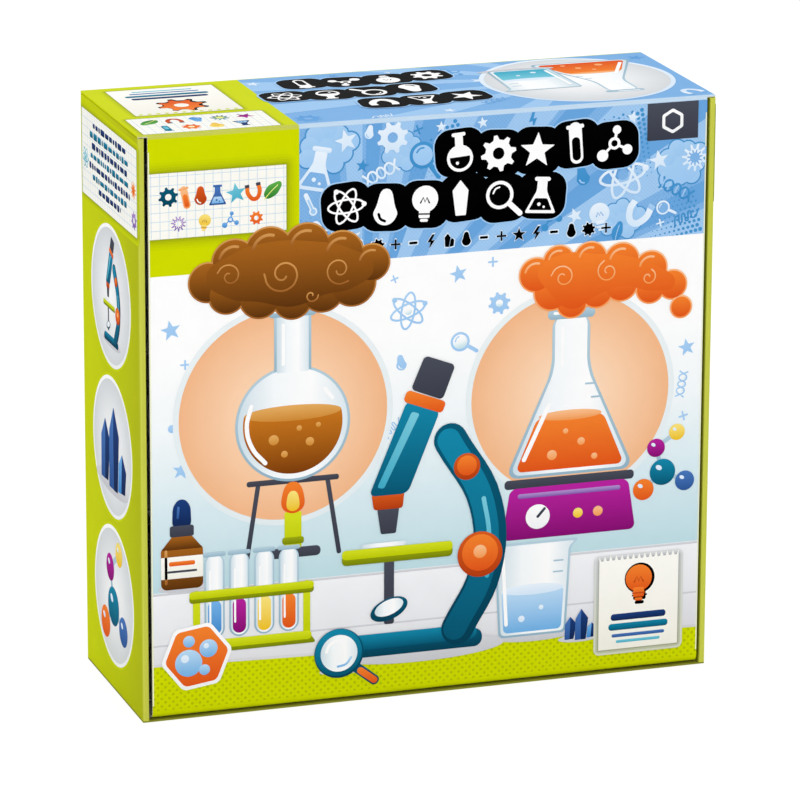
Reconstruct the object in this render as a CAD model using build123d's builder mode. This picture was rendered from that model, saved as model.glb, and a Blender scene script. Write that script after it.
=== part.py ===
# Chemistry set case: a printed roll-end mailer carton with a tuck-in lid, a sliding card tray and the
# set's own pieces. Millimetres. The carton stands on a narrow wall with its lid facing -Y.
# Origin: centre of the footprint, on the surface it stands on. +Z up, +X to the right of the lid.
import os
from math import cos, pi, radians, sin, sqrt

from build123d import *

os.makedirs("parts", exist_ok=True)

# Carton
box_width = 250.0
box_depth = 88.0
box_height = 250.0
board = 0.8  # micro-flute board
ply_gap = 0.9  # room between the two plies of a side wall, which the corner tabs fill
lid_seam = 1.4  # open seam at each side of the lid
crease_radius = 1.6  # outside of the fold that the lid hangs from
lower_fold_radius = 3.2  # outside of the fold at the lid's lower edge
fold_split_angle = 135.0  # where the crease is split between top panel and lid, halfway round the fold
crease_gap_angle = 2.0  # the lid's share of the fold starts this much later
edge_setback = 0.6  # bottom panel's front edge, behind the lid's face
flap_play = 0.55  # between the bottom panel and the tuck flap
flap_depth = 22.0
flap_inset = 3.0  # at each end of the flap, from the lid's edge
flap_corner = 14.0
crease_play = 0.05  # across the flap's crease
tab_length = 60.0
tab_corner = 12.0
tab_setback = 1.2  # tab's edges from the carton's inner faces
roll_radius = 0.7  # rounding of the side walls' rolled front edge
wall_head_gap = 0.1  # between the side walls and the lid's crease above them
lock_width = 26.0  # side walls' lock tabs, in slots of the rear panel
lock_pitch = 110.0
lock_play = 0.15
lock_setback = 0.1  # lock tab's end, in from the rear panel's face

# Booklet behind the tray
booklet_width = 200.0
booklet_height = 200.0
cover_paper = 0.25
pages_thickness = 1.1
booklet_play = 0.2
staple_wire = 0.5
staple_crown = 12.0
staple_pitch = 100.0
spine_share = 0.4  # rounding of the pages' spine, as a share of their thickness

# Tray of white card
card = 0.8
tray_side_play = 1.0
tray_head_play = 2.6
tray_floor_play = 0.3
item_play = 1.25  # in front of and behind the widest pieces in the tray

# Scale
housing_width = 74.0
housing_height = 49.0
housing_depth = 40.0
back_thickness = 3.0
housing_wall = 1.6
housing_edge = 3.0  # rounding of the front edge
housing_foot = 5.0  # rounding of the lower corners
dial_radius = 17.8  # window over the dial
dial_centre = 16.0  # pointer's axis above the base
window_sill = 3.5  # window's lower edge, below the pointer's axis
dial_margin = 2.2  # dial behind the window's edge
dial_thickness = 1.0
pointer_length = 13.5
pointer_tail = 3.0
pointer_head = 5.6
pointer_shaft = 2.0
pointer_thickness = 0.8
pointer_gap = 0.3  # between dial and pointer
pointer_hub = 2.8
axle_radius = 1.5
axle_play = 0.08
dial_hole_play = 0.4
gear_module = 0.8
pinion_teeth = 8
tooth_share = 0.42  # tooth width at the pitch line, as a share of the pitch
tooth_tip = 0.7
tooth_root = 0.9
tooth_tip_share = 0.5  # tooth width at its tip, as a share of its width at the pitch line
tooth_root_share = 1.25  # and at its root
tooth_sink = 0.3  # teeth start this far below their root
pinion_width = 7.0
rack_width = 6.0
rack_back = 4.5  # rack bar behind the roots of its teeth
mechanism_y = 17.0  # middle of pinion, rack and stem, behind the housing's face
stem_width = 13.0
stem_depth = 9.0
stem_play = 0.5
crosshead_height = 4.0
crosshead_bottom = 31.0
leg_clearance = 0.3  # left under the rack's leg when the pan is pressed down
spring_radius = 3.5
spring_wire = 0.9
spring_turns = 7
spring_x = -11.0
spring_peg_play = 0.4
spring_peg_height = 3.0
pan_diameter = 62.0
pan_floor_radius = 24.0
pan_height = 7.0
pan_wall = 1.5
pan_lip = 0.7
pan_travel = 10.0
pan_clearance = 3.0  # left under the pan when it is pressed down
screw_radius = 1.3
screw_head_radius = 2.5
screw_head_height = 1.4
screw_length = 12.0
screw_hole_spare = 1.0  # hole beyond the screw's end
boss_radius = 3.0
boss_x_low, boss_z_low = 29.0, 7.0
boss_x_high, boss_z_high = 22.0, 33.0
boss_play = 0.02
bearing_radius = 3.5
bearing_length = 9.0

# Clear beakers: top diameter, floor diameter and height
large_beaker_top, large_beaker_floor, large_beaker_height = 62.0, 54.0, 73.0
middle_beaker_top, middle_beaker_floor, middle_beaker_height = 48.0, 42.0, 60.0
small_beaker_top, small_beaker_floor, small_beaker_height = 36.0, 31.0, 46.0
beaker_wall = 1.3
spout_reach = 4.0
spout_width = 12.0
spout_depth = 13.0
spout_foot = 3.0  # spout's width at its lower end

# Funnel, standing on its mouth
funnel_mouth = 52.0
funnel_throat = 11.0
funnel_tip = 8.0
funnel_cone_height = 27.0
funnel_rim_height = 3.0
funnel_rim = 1.2
funnel_spout = 27.0
funnel_wall = 1.3

# Test-tube rack
rack_base = 124.0
rack_top = 106.0
rack_height = 38.0
rack_depth = 32.0
rack_wall = 2.4
rack_corner = 7.0
tube_holes = 4
tube_pitch = 25.0
seat_hole_radius = 4.0
tube_radius = 8.0
tube_length = 75.0
tube_wall = 1.2
tube_rim = 1.6
tube_rim_height = 1.6
tube_play = 0.3
stopper_head_radius = 9.2
stopper_head_height = 6.5
stopper_waist_radius = 7.4
stopper_plug_radius = 6.4
stopper_plug_tip = 6.0
stopper_plug_length = 12.0
stopper_flare_height = 1.8  # where the waist has opened out to the head
stopper_flare_in = 0.8
stopper_bulge_height = 3.2  # widest ring of the head
stopper_crown_height = 1.0  # rounded top of the head
stopper_crown_in = 0.4
stopper_top_in = 1.6

# Dropping pipette, standing on its tip
pipette_length = 96.0
pipette_radius = 4.0
pipette_tip = 1.4
pipette_taper = 34.0
pipette_wall = 0.8
bulb_radius = 10.0
bulb_neck = 6.2
bulb_neck_height = 13.0
bulb_height = 48.0
bulb_belly = 16.0  # bulb's widest ring, below its top
bulb_flare = (0.2, 1)  # direction in which the bulb leaves its neck
bulb_inner_flare = (0.3, 1)
bulb_wall = 1.5
bulb_fit = 0.08

# Faces that the pieces are placed from
front = -box_depth / 2
rear = box_depth / 2
inner_front = front + board
inner_rear = rear - board
inner_top = box_height - board
side_wall = 2 * board + ply_gap
inner_side = box_width / 2 - side_wall
lid_half = inner_side - lid_seam


def save(piece, name):
    piece.part.label = name
    export_step(piece.part, f"parts/{name}.step")


def block(low, high):
    """A box between two corners, added to the part that is being built."""
    size = [b - a for a, b in zip(low, high)]
    middle = [(a + b) / 2 for a, b in zip(low, high)]
    with Locations(tuple(middle)):
        Box(*size)


def profile(*points):
    """A closed half section in the XZ plane, for a piece that is turned about Z."""
    with BuildSketch(Plane.XZ) as section:
        with BuildLine():
            Polyline(*points, close=True)
        make_face()
    return section.sketch


# ---------------------------------------------------------------- carton

# The lid's crease is a rolled fold about this line, seen along X.
crease_y = front + crease_radius
crease_z = box_height - crease_radius
crease_inner = crease_radius - board
split_low = crease_z + crease_inner * sin(radians(fold_split_angle))
side_top = split_low - wall_head_gap
hinge_y = crease_y + crease_radius * cos(radians(fold_split_angle))
hinge_z = crease_z + crease_radius * sin(radians(fold_split_angle))
print(f"lid hinge: y {hinge_y:.4f}, z {hinge_z:.4f}")

with BuildPart() as top_panel:
    with BuildSketch(Plane.YZ):
        with BuildLine():
            outer = CenterArc((crease_y, crease_z), crease_radius, 90, fold_split_angle - 90)
            inner = CenterArc((crease_y, crease_z), crease_inner, 90, fold_split_angle - 90)
            Line(outer @ 1, inner @ 1)
            Polyline(inner @ 0, (inner_rear, inner_top), (inner_rear, box_height), outer @ 0)
        make_face()
    extrude(amount=box_width / 2, both=True)
save(top_panel, "top_panel")

with BuildPart() as bottom_panel:
    block((-box_width / 2, front + edge_setback, 0), (box_width / 2, inner_rear, board))
save(bottom_panel, "bottom_panel")

lock_x = inner_side + board / 2
lock_places = [
    (x, box_height / 2 + z) for x in (-lock_x, lock_x) for z in (-lock_pitch / 2, lock_pitch / 2)
]
with BuildPart() as rear_panel:
    block((-box_width / 2, inner_rear, 0), (box_width / 2, rear, box_height))
    with BuildSketch(Plane.XZ.offset(-rear)):
        with Locations(*lock_places):
            Rectangle(board + 2 * lock_play, lock_width + 2 * lock_play)
    extrude(amount=board, mode=Mode.SUBTRACT)
save(rear_panel, "rear_panel")

for side, side_name in ((-1, "left"), (1, "right")):
    with BuildPart() as wall:
        with BuildSketch(Plane.XY.offset(board)):
            with Locations((side * (box_width - side_wall) / 2, (front + inner_rear) / 2)):
                Rectangle(side_wall, inner_rear - front)
            with Locations((side * (box_width / 2 - board - ply_gap / 2), (inner_front + inner_rear) / 2)):
                Rectangle(ply_gap, inner_rear - inner_front, mode=Mode.SUBTRACT)
        extrude(amount=side_top - board)
        fillet(wall.edges().filter_by(Axis.Z).group_by(Axis.Y)[0], roll_radius)
        for x, z in lock_places:
            if x * side > 0:
                block(
                    (x - board / 2, inner_rear, z - lock_width / 2),
                    (x + board / 2, rear - lock_setback, z + lock_width / 2),
                )
    save(wall, f"{side_name}_side_wall")

    tab_x = side * (box_width / 2 - board - ply_gap / 2)
    tab_low_y, tab_high_y = inner_front + tab_setback, inner_rear - tab_setback
    for level_name, root, tip in (
        ("upper", side_top, side_top - tab_length),
        ("lower", board, board + tab_length),
    ):
        with BuildPart() as tab:
            block(
                (tab_x - board / 2, tab_low_y, min(root, tip)),
                (tab_x + board / 2, tab_high_y, max(root, tip)),
            )
            free_end = tab.edges().filter_by(Axis.X).group_by(Axis.Z)[0 if tip < root else -1]
            chamfer(free_end, tab_corner)
        save(tab, f"{level_name}_{side_name}_tab")

flap_bottom = board + flap_play
flap_top = flap_bottom + board
fold_y = front + lower_fold_radius
fold_z = flap_bottom + lower_fold_radius
with BuildPart() as lid_panel:
    with BuildSketch(Plane.YZ):
        with BuildLine():
            start = fold_split_angle + crease_gap_angle
            head_out = CenterArc((crease_y, crease_z), crease_radius, start, 180 - start)
            head_in = CenterArc((crease_y, crease_z), crease_inner, start, 180 - start)
            foot_out = CenterArc((fold_y, fold_z), lower_fold_radius, 180, 90)
            foot_in = CenterArc((fold_y, fold_z), lower_fold_radius - board, 180, 90)
            Line(head_out @ 0, head_in @ 0)
            Line(head_out @ 1, foot_out @ 0)
            Line(head_in @ 1, foot_in @ 0)
            Line(foot_out @ 1, foot_in @ 1)
        make_face()
    extrude(amount=lid_half, both=True)
save(lid_panel, "lid_panel")

flap_half = lid_half - flap_inset
with BuildPart() as tuck_flap:
    block((-flap_half, fold_y + crease_play, flap_bottom), (flap_half, fold_y + flap_depth, flap_top))
    fillet(tuck_flap.edges().filter_by(Axis.Z).group_by(Axis.Y)[-1], flap_corner)
save(tuck_flap, "tuck_flap")
print(f"flap hinge: y {fold_y:.4f}, z {flap_top:.4f}")

# ---------------------------------------------------------------- booklet

booklet_thickness = pages_thickness + 2 * cover_paper
booklet_front = inner_rear - booklet_thickness
booklet_half = booklet_width / 2
booklet_top = board + booklet_height
with BuildPart() as booklet_cover:
    block((-booklet_half, booklet_front, board), (booklet_half, inner_rear, booklet_top))
    with BuildSketch(Plane.XY.offset(board)):
        with Locations((cover_paper / 2, (booklet_front + inner_rear) / 2)):
            Rectangle(booklet_width - cover_paper, pages_thickness)
    extrude(amount=booklet_height, mode=Mode.SUBTRACT)
save(booklet_cover, "booklet_cover")

with BuildPart() as booklet_pages:
    block(
        (-booklet_half + cover_paper, booklet_front + cover_paper, board),
        (booklet_half, inner_rear - cover_paper, booklet_top),
    )
    spine = booklet_pages.edges().filter_by(Axis.Z).group_by(Axis.X)[0]
    fillet(spine, pages_thickness * spine_share)
save(booklet_pages, "booklet_pages")

with BuildPart() as booklet_staples:
    for z in (-staple_pitch / 2, staple_pitch / 2):
        middle = board + booklet_height / 2 + z
        with BuildSketch(Plane.XY.offset(middle - staple_crown / 2)):
            with Locations((-booklet_half - staple_wire / 2, (booklet_front + inner_rear) / 2)):
                Circle(staple_wire / 2)
        extrude(amount=staple_crown)
save(booklet_staples, "booklet_staples")

# ---------------------------------------------------------------- tray

tray_half = inner_side - tray_side_play
tray_rear = booklet_front - booklet_play
tray_inner_rear = tray_rear - card
tray_front = tray_inner_rear - pan_diameter - 2 * item_play
tray_bottom = flap_top + tray_floor_play
tray_top = inner_top - tray_head_play
cell_left = -tray_half + card
cell_right = tray_half - card
cell_floor = tray_bottom + card
cell_ceiling = tray_top - card
item_y = (tray_front + tray_inner_rear) / 2


def shared_out(low, high, lengths):
    """Low and high end of each length's cell, with one card between cells and the spare room shared."""
    spare = high - low - sum(lengths) - card * (len(lengths) - 1)
    cells = []
    for length in lengths:
        end = low + length + spare / len(lengths)
        cells.append((low, end))
        low = end + card
    return cells


def middle_of(cell):
    return (cell[0] + cell[1]) / 2


pipette_height = pipette_length - bulb_neck_height + bulb_height
lower_row, upper_row = shared_out(cell_floor, cell_ceiling, (pipette_height, large_beaker_height))
left_low, left_high = shared_out(
    lower_row[0], lower_row[1], (middle_beaker_height, small_beaker_height)
)
large_beaker_cell, scale_cell, funnel_cell = shared_out(
    cell_left, cell_right, (large_beaker_top + spout_reach, housing_width, funnel_mouth)
)
small_beakers_cell, rack_cell, pipette_cell = shared_out(
    cell_left, cell_right, (middle_beaker_top + spout_reach, rack_base, 2 * bulb_radius)
)
left_divider_x, right_divider_x = small_beakers_cell[1], rack_cell[1]

tray_sheets = {
    "tray_back": ((-tray_half, tray_inner_rear, tray_bottom), (tray_half, tray_rear, tray_top)),
    "tray_left_wall": ((-tray_half, tray_front, tray_bottom), (cell_left, tray_inner_rear, tray_top)),
    "tray_right_wall": ((cell_right, tray_front, tray_bottom), (tray_half, tray_inner_rear, tray_top)),
    "tray_bottom_wall": ((cell_left, tray_front, tray_bottom), (cell_right, tray_inner_rear, cell_floor)),
    "tray_top_wall": ((cell_left, tray_front, cell_ceiling), (cell_right, tray_inner_rear, tray_top)),
    "long_shelf": ((cell_left, tray_front, lower_row[1]), (cell_right, tray_inner_rear, upper_row[0])),
    "short_shelf": ((cell_left, tray_front, left_low[1]), (left_divider_x, tray_inner_rear, left_high[0])),
}
for name, x, row in (
    ("upper_left_divider", large_beaker_cell[1], upper_row),
    ("upper_right_divider", scale_cell[1], upper_row),
    ("lower_left_divider", left_divider_x, lower_row),
    ("lower_right_divider", right_divider_x, lower_row),
):
    tray_sheets[name] = ((x, tray_front, row[0]), (x + card, tray_inner_rear, row[1]))

for name, (low, high) in tray_sheets.items():
    with BuildPart() as sheet:
        block(low, high)
    save(sheet, name)

# ---------------------------------------------------------------- scale

scale_x = middle_of(scale_cell)
scale_z = upper_row[0]
scale_front = item_y - mechanism_y
stem_y = scale_front + mechanism_y
housing_rear = scale_front + housing_depth
axle_z = scale_z + dial_centre
crown = housing_height - housing_width / 2


def scale_plane(y):
    """XZ plane at this Y, with its origin at the foot of the scale's middle. It faces the front."""
    return Plane(origin=(scale_x, y, scale_z), x_dir=(1, 0, 0), z_dir=(0, -1, 0))


def arch(inset):
    """The housing's outline, moved in by this much: straight sides under a half-round crown."""
    half = housing_width / 2 - inset
    with BuildSketch() as outline:
        with BuildLine():
            Polyline((-half, crown), (-half, inset), (half, inset), (half, crown))
            CenterArc((0, crown), half, 0, 180)
        make_face()
        fillet(outline.vertices().group_by(Axis.Y)[0], housing_foot - inset)
    return outline.sketch


def dial_outline(margin):
    """Half-round window or dial plate, this much larger than the window."""
    radius = dial_radius + margin
    sill = window_sill + margin
    reach = sqrt(radius**2 - sill**2)
    with BuildSketch() as outline:
        with BuildLine():
            Line((-reach, dial_centre - sill), (reach, dial_centre - sill))
            ThreePointArc(
                (reach, dial_centre - sill), (0, dial_centre + radius), (-reach, dial_centre - sill)
            )
        make_face()
    return outline.sketch


boss_places = [
    (side * x, z)
    for side in (-1, 1)
    for x, z in ((boss_x_low, boss_z_low), (boss_x_high, boss_z_high))
]
with BuildPart() as housing_front:
    with BuildSketch(scale_plane(scale_front)):
        add(arch(0))
    extrude(amount=-housing_depth)
    fillet(housing_front.faces().sort_by(Axis.Y)[0].outer_wire().edges(), housing_edge)
    with BuildSketch(scale_plane(scale_front + housing_wall)):
        add(arch(housing_wall))
    extrude(amount=-housing_depth, mode=Mode.SUBTRACT)
    with BuildSketch(scale_plane(scale_front + housing_wall)):
        with Locations(*boss_places):
            Circle(boss_radius)
    extrude(amount=-(housing_depth - housing_wall))
    with BuildSketch(scale_plane(housing_rear)):
        with Locations(*boss_places):
            Circle(screw_radius + boss_play)
    extrude(amount=screw_length - back_thickness + screw_hole_spare, mode=Mode.SUBTRACT)
    with BuildSketch(scale_plane(scale_front)):
        add(dial_outline(0))
    extrude(amount=-housing_wall, mode=Mode.SUBTRACT)
    with BuildSketch(Plane.XY.offset(scale_z + housing_height)):
        with Locations((scale_x, stem_y)):
            Rectangle(stem_width + 2 * stem_play, stem_depth + 2 * stem_play)
    extrude(amount=-(housing_height - crosshead_bottom), mode=Mode.SUBTRACT)
    peg_radius = spring_radius - spring_wire / 2 - spring_peg_play
    with BuildSketch(Plane.XY.offset(scale_z + housing_wall)):
        with Locations((scale_x + spring_x, stem_y)):
            Circle(peg_radius)
    extrude(amount=spring_peg_height)
save(housing_front, "housing_front")

with BuildPart() as housing_back:
    with BuildSketch(scale_plane(housing_rear)):
        add(arch(0))
    extrude(amount=-back_thickness)
    fillet(housing_back.faces().sort_by(Axis.Y)[-1].outer_wire().edges(), housing_wall)
    with BuildSketch(scale_plane(housing_rear)):
        with Locations((0, dial_centre)):
            Circle(bearing_radius)
    extrude(amount=bearing_length)
    with BuildSketch(scale_plane(housing_rear)):
        with Locations((0, dial_centre)):
            Circle(axle_radius + axle_play)
    extrude(amount=bearing_length, mode=Mode.SUBTRACT)
    with BuildSketch(scale_plane(housing_rear + back_thickness)):
        with Locations(*boss_places):
            Circle(screw_radius + boss_play)
    extrude(amount=back_thickness, mode=Mode.SUBTRACT)
    with BuildSketch(scale_plane(housing_rear + back_thickness)):
        with Locations(*boss_places):
            Circle(screw_head_radius + boss_play)
    extrude(amount=screw_head_height, mode=Mode.SUBTRACT)
save(housing_back, "housing_back")

with BuildPart() as housing_screws:
    with BuildSketch(scale_plane(housing_rear + back_thickness)):
        with Locations(*boss_places):
            Circle(screw_head_radius)
    extrude(amount=screw_head_height)
    with BuildSketch(scale_plane(housing_rear + back_thickness - screw_head_height)):
        with Locations(*boss_places):
            Circle(screw_radius)
    extrude(amount=screw_length - screw_head_height)
save(housing_screws, "housing_screws")

dial_y = scale_front + housing_wall
with BuildPart() as scale_dial:
    with BuildSketch(scale_plane(dial_y)):
        add(dial_outline(dial_margin))
        with Locations((0, dial_centre)):
            Circle(axle_radius + dial_hole_play, mode=Mode.SUBTRACT)
    extrude(amount=-dial_thickness)
save(scale_dial, "scale_dial")

# At rest the pointer lies towards -X, at the dial's zero.
pointer_y = dial_y - pointer_gap
with BuildPart() as scale_pointer:
    with BuildSketch(scale_plane(pointer_y)):
        neck = -pointer_length + pointer_head
        with BuildLine():
            Polyline(
                (pointer_tail, dial_centre - pointer_shaft / 2),
                (pointer_tail, dial_centre + pointer_shaft / 2),
                (neck, dial_centre + pointer_shaft / 2),
                (neck, dial_centre + pointer_head / 2),
                (-pointer_length, dial_centre),
                (neck, dial_centre - pointer_head / 2),
                (neck, dial_centre - pointer_shaft / 2),
                close=True,
            )
        make_face()
        with Locations((0, dial_centre)):
            Circle(pointer_hub)
            Circle(axle_radius, mode=Mode.SUBTRACT)
    extrude(amount=pointer_thickness)
save(scale_pointer, "scale_pointer")

pitch_radius = gear_module * pinion_teeth / 2
tooth_pitch = pi * gear_module
tooth_half = tooth_share * tooth_pitch / 2
tip_half = tooth_half * tooth_tip_share
root_half = tooth_half * tooth_root_share
with BuildPart() as pointer_pinion:
    with BuildSketch(scale_plane(pointer_y - pointer_thickness)):
        with Locations((0, dial_centre)):
            Circle(axle_radius)
    extrude(amount=-(housing_rear - pointer_y + pointer_thickness))
    with BuildSketch(scale_plane(stem_y - pinion_width / 2)):
        with Locations((0, dial_centre)):
            Circle(pitch_radius - tooth_root)
            # a gap, not a tooth, faces the rack at rest
            with PolarLocations(0, pinion_teeth, start_angle=180 / pinion_teeth):
                with Locations((pitch_radius, 0)):
                    Polygon(
                        (-tooth_root - tooth_sink, -root_half),
                        (tooth_tip, -tip_half),
                        (tooth_tip, tip_half),
                        (-tooth_root - tooth_sink, root_half),
                        align=None,
                    )
    extrude(amount=-pinion_width)
save(pointer_pinion, "pointer_pinion")

leg_bottom = housing_wall + pan_travel + leg_clearance
rack_teeth_low = -1
rack_teeth_high = round((pan_travel + tooth_tip) / tooth_pitch) + 1
stem_top = housing_height + pan_travel + pan_clearance
with BuildPart() as pan_stem:
    with BuildSketch(Plane.XY.offset(scale_z + crosshead_bottom)):
        with Locations((scale_x, stem_y)):
            Rectangle(stem_width, stem_depth)
    extrude(amount=stem_top - crosshead_bottom)
    leg_face = scale_x + pitch_radius + tooth_root
    crosshead_left = scale_x + spring_x - spring_radius - spring_wire
    crosshead_z = scale_z + crosshead_bottom
    block(
        (crosshead_left, stem_y - stem_depth / 2, crosshead_z),
        (leg_face + rack_back, stem_y + stem_depth / 2, crosshead_z + crosshead_height),
    )
    block(
        (leg_face, stem_y - rack_width / 2, scale_z + leg_bottom),
        (leg_face + rack_back, stem_y + rack_width / 2, crosshead_z),
    )
    with BuildSketch(scale_plane(stem_y - rack_width / 2)):
        for tooth in range(rack_teeth_low, rack_teeth_high + 1):
            with Locations((pitch_radius, dial_centre + tooth * tooth_pitch)):
                Polygon(
                    (tooth_root + tooth_sink, -root_half),
                    (tooth_root + tooth_sink, root_half),
                    (-tooth_tip, tip_half),
                    (-tooth_tip, -tip_half),
                    align=None,
                )
    extrude(amount=-rack_width)
save(pan_stem, "pan_stem")
print(f"pan travel for half a turn of the pointer: {pi * pitch_radius:.4f}")
print(f"pointer axis: x {scale_x:.4f}, y {stem_y:.4f}, z {axle_z:.4f}")

spring_bottom = housing_wall + spring_wire / 2
spring_height = crosshead_bottom - spring_wire / 2 - spring_bottom
with BuildPart() as scale_spring:
    with BuildLine(Plane(origin=(scale_x + spring_x, stem_y, scale_z + spring_bottom))) as coil:
        Helix(pitch=spring_height / spring_turns, height=spring_height, radius=spring_radius)
    with BuildSketch(Plane(origin=coil.line @ 0, z_dir=coil.line % 0)):
        Circle(spring_wire / 2)
    sweep(is_frenet=True)
save(scale_spring, "scale_spring")
print(f"spring foot: z {scale_z + housing_wall:.4f}")

pan_z = scale_z + stem_top
pan_radius = pan_diameter / 2
with BuildPart() as weighing_pan:
    section = profile(
        (0, 0),
        (pan_floor_radius, 0),
        (pan_radius - pan_lip, pan_height - pan_wall),
        (pan_radius, pan_height - pan_wall),
        (pan_radius, pan_height),
        (pan_radius - pan_wall, pan_height),
        (pan_floor_radius - pan_wall / 2, pan_wall),
        (0, pan_wall),
    )
    revolve(section.moved(Location((scale_x, stem_y, pan_z))), axis=Axis((scale_x, stem_y, 0), (0, 0, 1)))
save(weighing_pan, "weighing_pan")

# ---------------------------------------------------------------- beakers


def wall_profile(outer, inner):
    """Half section between an outer and an inner line of (radius, height) points, both from the axis."""
    return profile(*outer, *reversed(inner))


def beaker(name, x, z, top, floor, height):
    """A clear beaker standing at x, z, with its pouring spout towards -X."""
    top_radius, floor_radius = top / 2, floor / 2
    place = Location((x, item_y, z))
    spine = Axis((x, item_y, 0), (0, 0, 1))
    spout_x = x - top_radius + spout_width / 2 - spout_reach

    def spout(inset):
        with BuildPart() as lip:
            with Locations((spout_x, item_y, z + height)):
                Cone(
                    bottom_radius=spout_foot / 2,
                    top_radius=spout_width / 2 - inset,
                    height=spout_depth - inset,
                    align=(Align.CENTER, Align.CENTER, Align.MAX),
                )
        return lip.part

    with BuildPart() as glass:
        body = profile((0, 0), (floor_radius, 0), (top_radius, height), (0, height))
        revolve(body.moved(place), axis=spine)
        add(spout(0))
        hollow = profile(
            (0, beaker_wall),
            (floor_radius - beaker_wall, beaker_wall),
            (top_radius - beaker_wall, height),
            (0, height),
        )
        revolve(hollow.moved(place), axis=spine, mode=Mode.SUBTRACT)
        add(spout(beaker_wall), mode=Mode.SUBTRACT)
    save(glass, name)


beaker(
    "large_beaker",
    middle_of(large_beaker_cell) + spout_reach / 2,
    upper_row[0],
    large_beaker_top,
    large_beaker_floor,
    large_beaker_height,
)
small_beakers_x = middle_of(small_beakers_cell) + spout_reach / 2
beaker(
    "middle_beaker",
    small_beakers_x,
    left_low[0],
    middle_beaker_top,
    middle_beaker_floor,
    middle_beaker_height,
)
beaker(
    "small_beaker",
    small_beakers_x,
    left_high[0],
    small_beaker_top,
    small_beaker_floor,
    small_beaker_height,
)

# ---------------------------------------------------------------- funnel

funnel_x = middle_of(funnel_cell)
mouth_radius, throat_radius, tip_radius = funnel_mouth / 2, funnel_throat / 2, funnel_tip / 2
throat_z = funnel_rim_height + funnel_cone_height
tip_z = throat_z + funnel_spout
with BuildPart() as funnel:
    section = wall_profile(
        (
            (mouth_radius, 0),
            (mouth_radius, funnel_rim_height),
            (mouth_radius - funnel_rim, funnel_rim_height),
            (throat_radius, throat_z),
            (tip_radius, tip_z),
        ),
        (
            (mouth_radius - funnel_rim - funnel_wall, 0),
            (mouth_radius - funnel_rim - funnel_wall, funnel_rim_height),
            (throat_radius - funnel_wall, throat_z - funnel_wall),
            (tip_radius - funnel_wall, tip_z),
        ),
    )
    revolve(
        section.moved(Location((funnel_x, item_y, upper_row[0]))),
        axis=Axis((funnel_x, item_y, 0), (0, 0, 1)),
    )
save(funnel, "funnel")

# ---------------------------------------------------------------- rack, tubes and stoppers

rack_x = middle_of(rack_cell)
rack_plane = Plane(origin=(rack_x, item_y - rack_depth / 2, cell_floor), x_dir=(1, 0, 0), z_dir=(0, -1, 0))


def rack_outline(inset):
    """The rack's bent band, seen from the front, moved in by this much."""
    slope = (rack_base - rack_top) / 2 / rack_height
    side_inset = inset * sqrt(1 + slope**2)
    low_half = rack_base / 2 - side_inset - inset * slope
    high_half = rack_top / 2 - side_inset + inset * slope
    with BuildSketch() as outline:
        with BuildLine():
            Polyline(
                (-low_half, inset),
                (low_half, inset),
                (high_half, rack_height - inset),
                (-high_half, rack_height - inset),
                close=True,
            )
        make_face()
        fillet(outline.vertices(), rack_corner - inset)
    return outline.sketch


hole_places = [(rack_x + (i - (tube_holes - 1) / 2) * tube_pitch, item_y) for i in range(tube_holes)]
with BuildPart() as tube_rack:
    with BuildSketch(rack_plane):
        add(rack_outline(0))
        add(rack_outline(rack_wall), mode=Mode.SUBTRACT)
    extrude(amount=-rack_depth)
    with BuildSketch(Plane.XY.offset(cell_floor + rack_height)):
        with Locations(*hole_places):
            Circle(tube_radius + tube_play)
    extrude(amount=-rack_wall, mode=Mode.SUBTRACT)
    with BuildSketch(Plane.XY.offset(cell_floor)):
        with Locations(*hole_places):
            Circle(seat_hole_radius)
    extrude(amount=rack_wall, mode=Mode.SUBTRACT)
save(tube_rack, "tube_rack")

# A tube's round end sits in the rack's lower hole, tube_play away from its edge.
seat_height = sqrt((tube_radius + tube_play) ** 2 - seat_hole_radius**2)
tube_z = cell_floor + rack_wall + seat_height - tube_radius
tube_inner = tube_radius - tube_wall
for (x, y), tube_name in zip(hole_places, ("first_tube", "second_tube")):
    with BuildPart() as tube:
        with BuildSketch(Plane.XZ) as section:
            with BuildLine():
                round_out = CenterArc((0, tube_radius), tube_radius, -90, 90)
                round_in = CenterArc((0, tube_radius), tube_inner, -90, 90)
                Line(round_out @ 0, round_in @ 0)
                Polyline(
                    round_out @ 1,
                    (tube_radius, tube_length - tube_rim_height),
                    (tube_radius + tube_rim, tube_length - tube_rim_height),
                    (tube_radius + tube_rim, tube_length),
                    (tube_inner, tube_length),
                    round_in @ 1,
                )
            make_face()
        revolve(
            section.sketch.moved(Location((x, y, tube_z))),
            axis=Axis((x, y, 0), (0, 0, 1)),
            mode=Mode.REPLACE,
        )
    save(tube, tube_name)

stopper_z = tube_z + tube_length
for (x, y), stopper_name in zip(hole_places, ("navy_stopper", "orange_stopper")):
    with BuildPart() as stopper:
        section = profile(
            (0, -stopper_plug_length),
            (stopper_plug_tip, -stopper_plug_length),
            (stopper_plug_radius, 0),
            (stopper_waist_radius, 0),
            (stopper_head_radius - stopper_flare_in, stopper_flare_height),
            (stopper_head_radius, stopper_bulge_height),
            (stopper_head_radius - stopper_crown_in, stopper_head_height - stopper_crown_height),
            (stopper_head_radius - stopper_top_in, stopper_head_height),
            (0, stopper_head_height),
        )
        revolve(section.moved(Location((x, y, stopper_z))), axis=Axis((x, y, 0), (0, 0, 1)))
    save(stopper, stopper_name)

# ---------------------------------------------------------------- pipette

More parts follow.
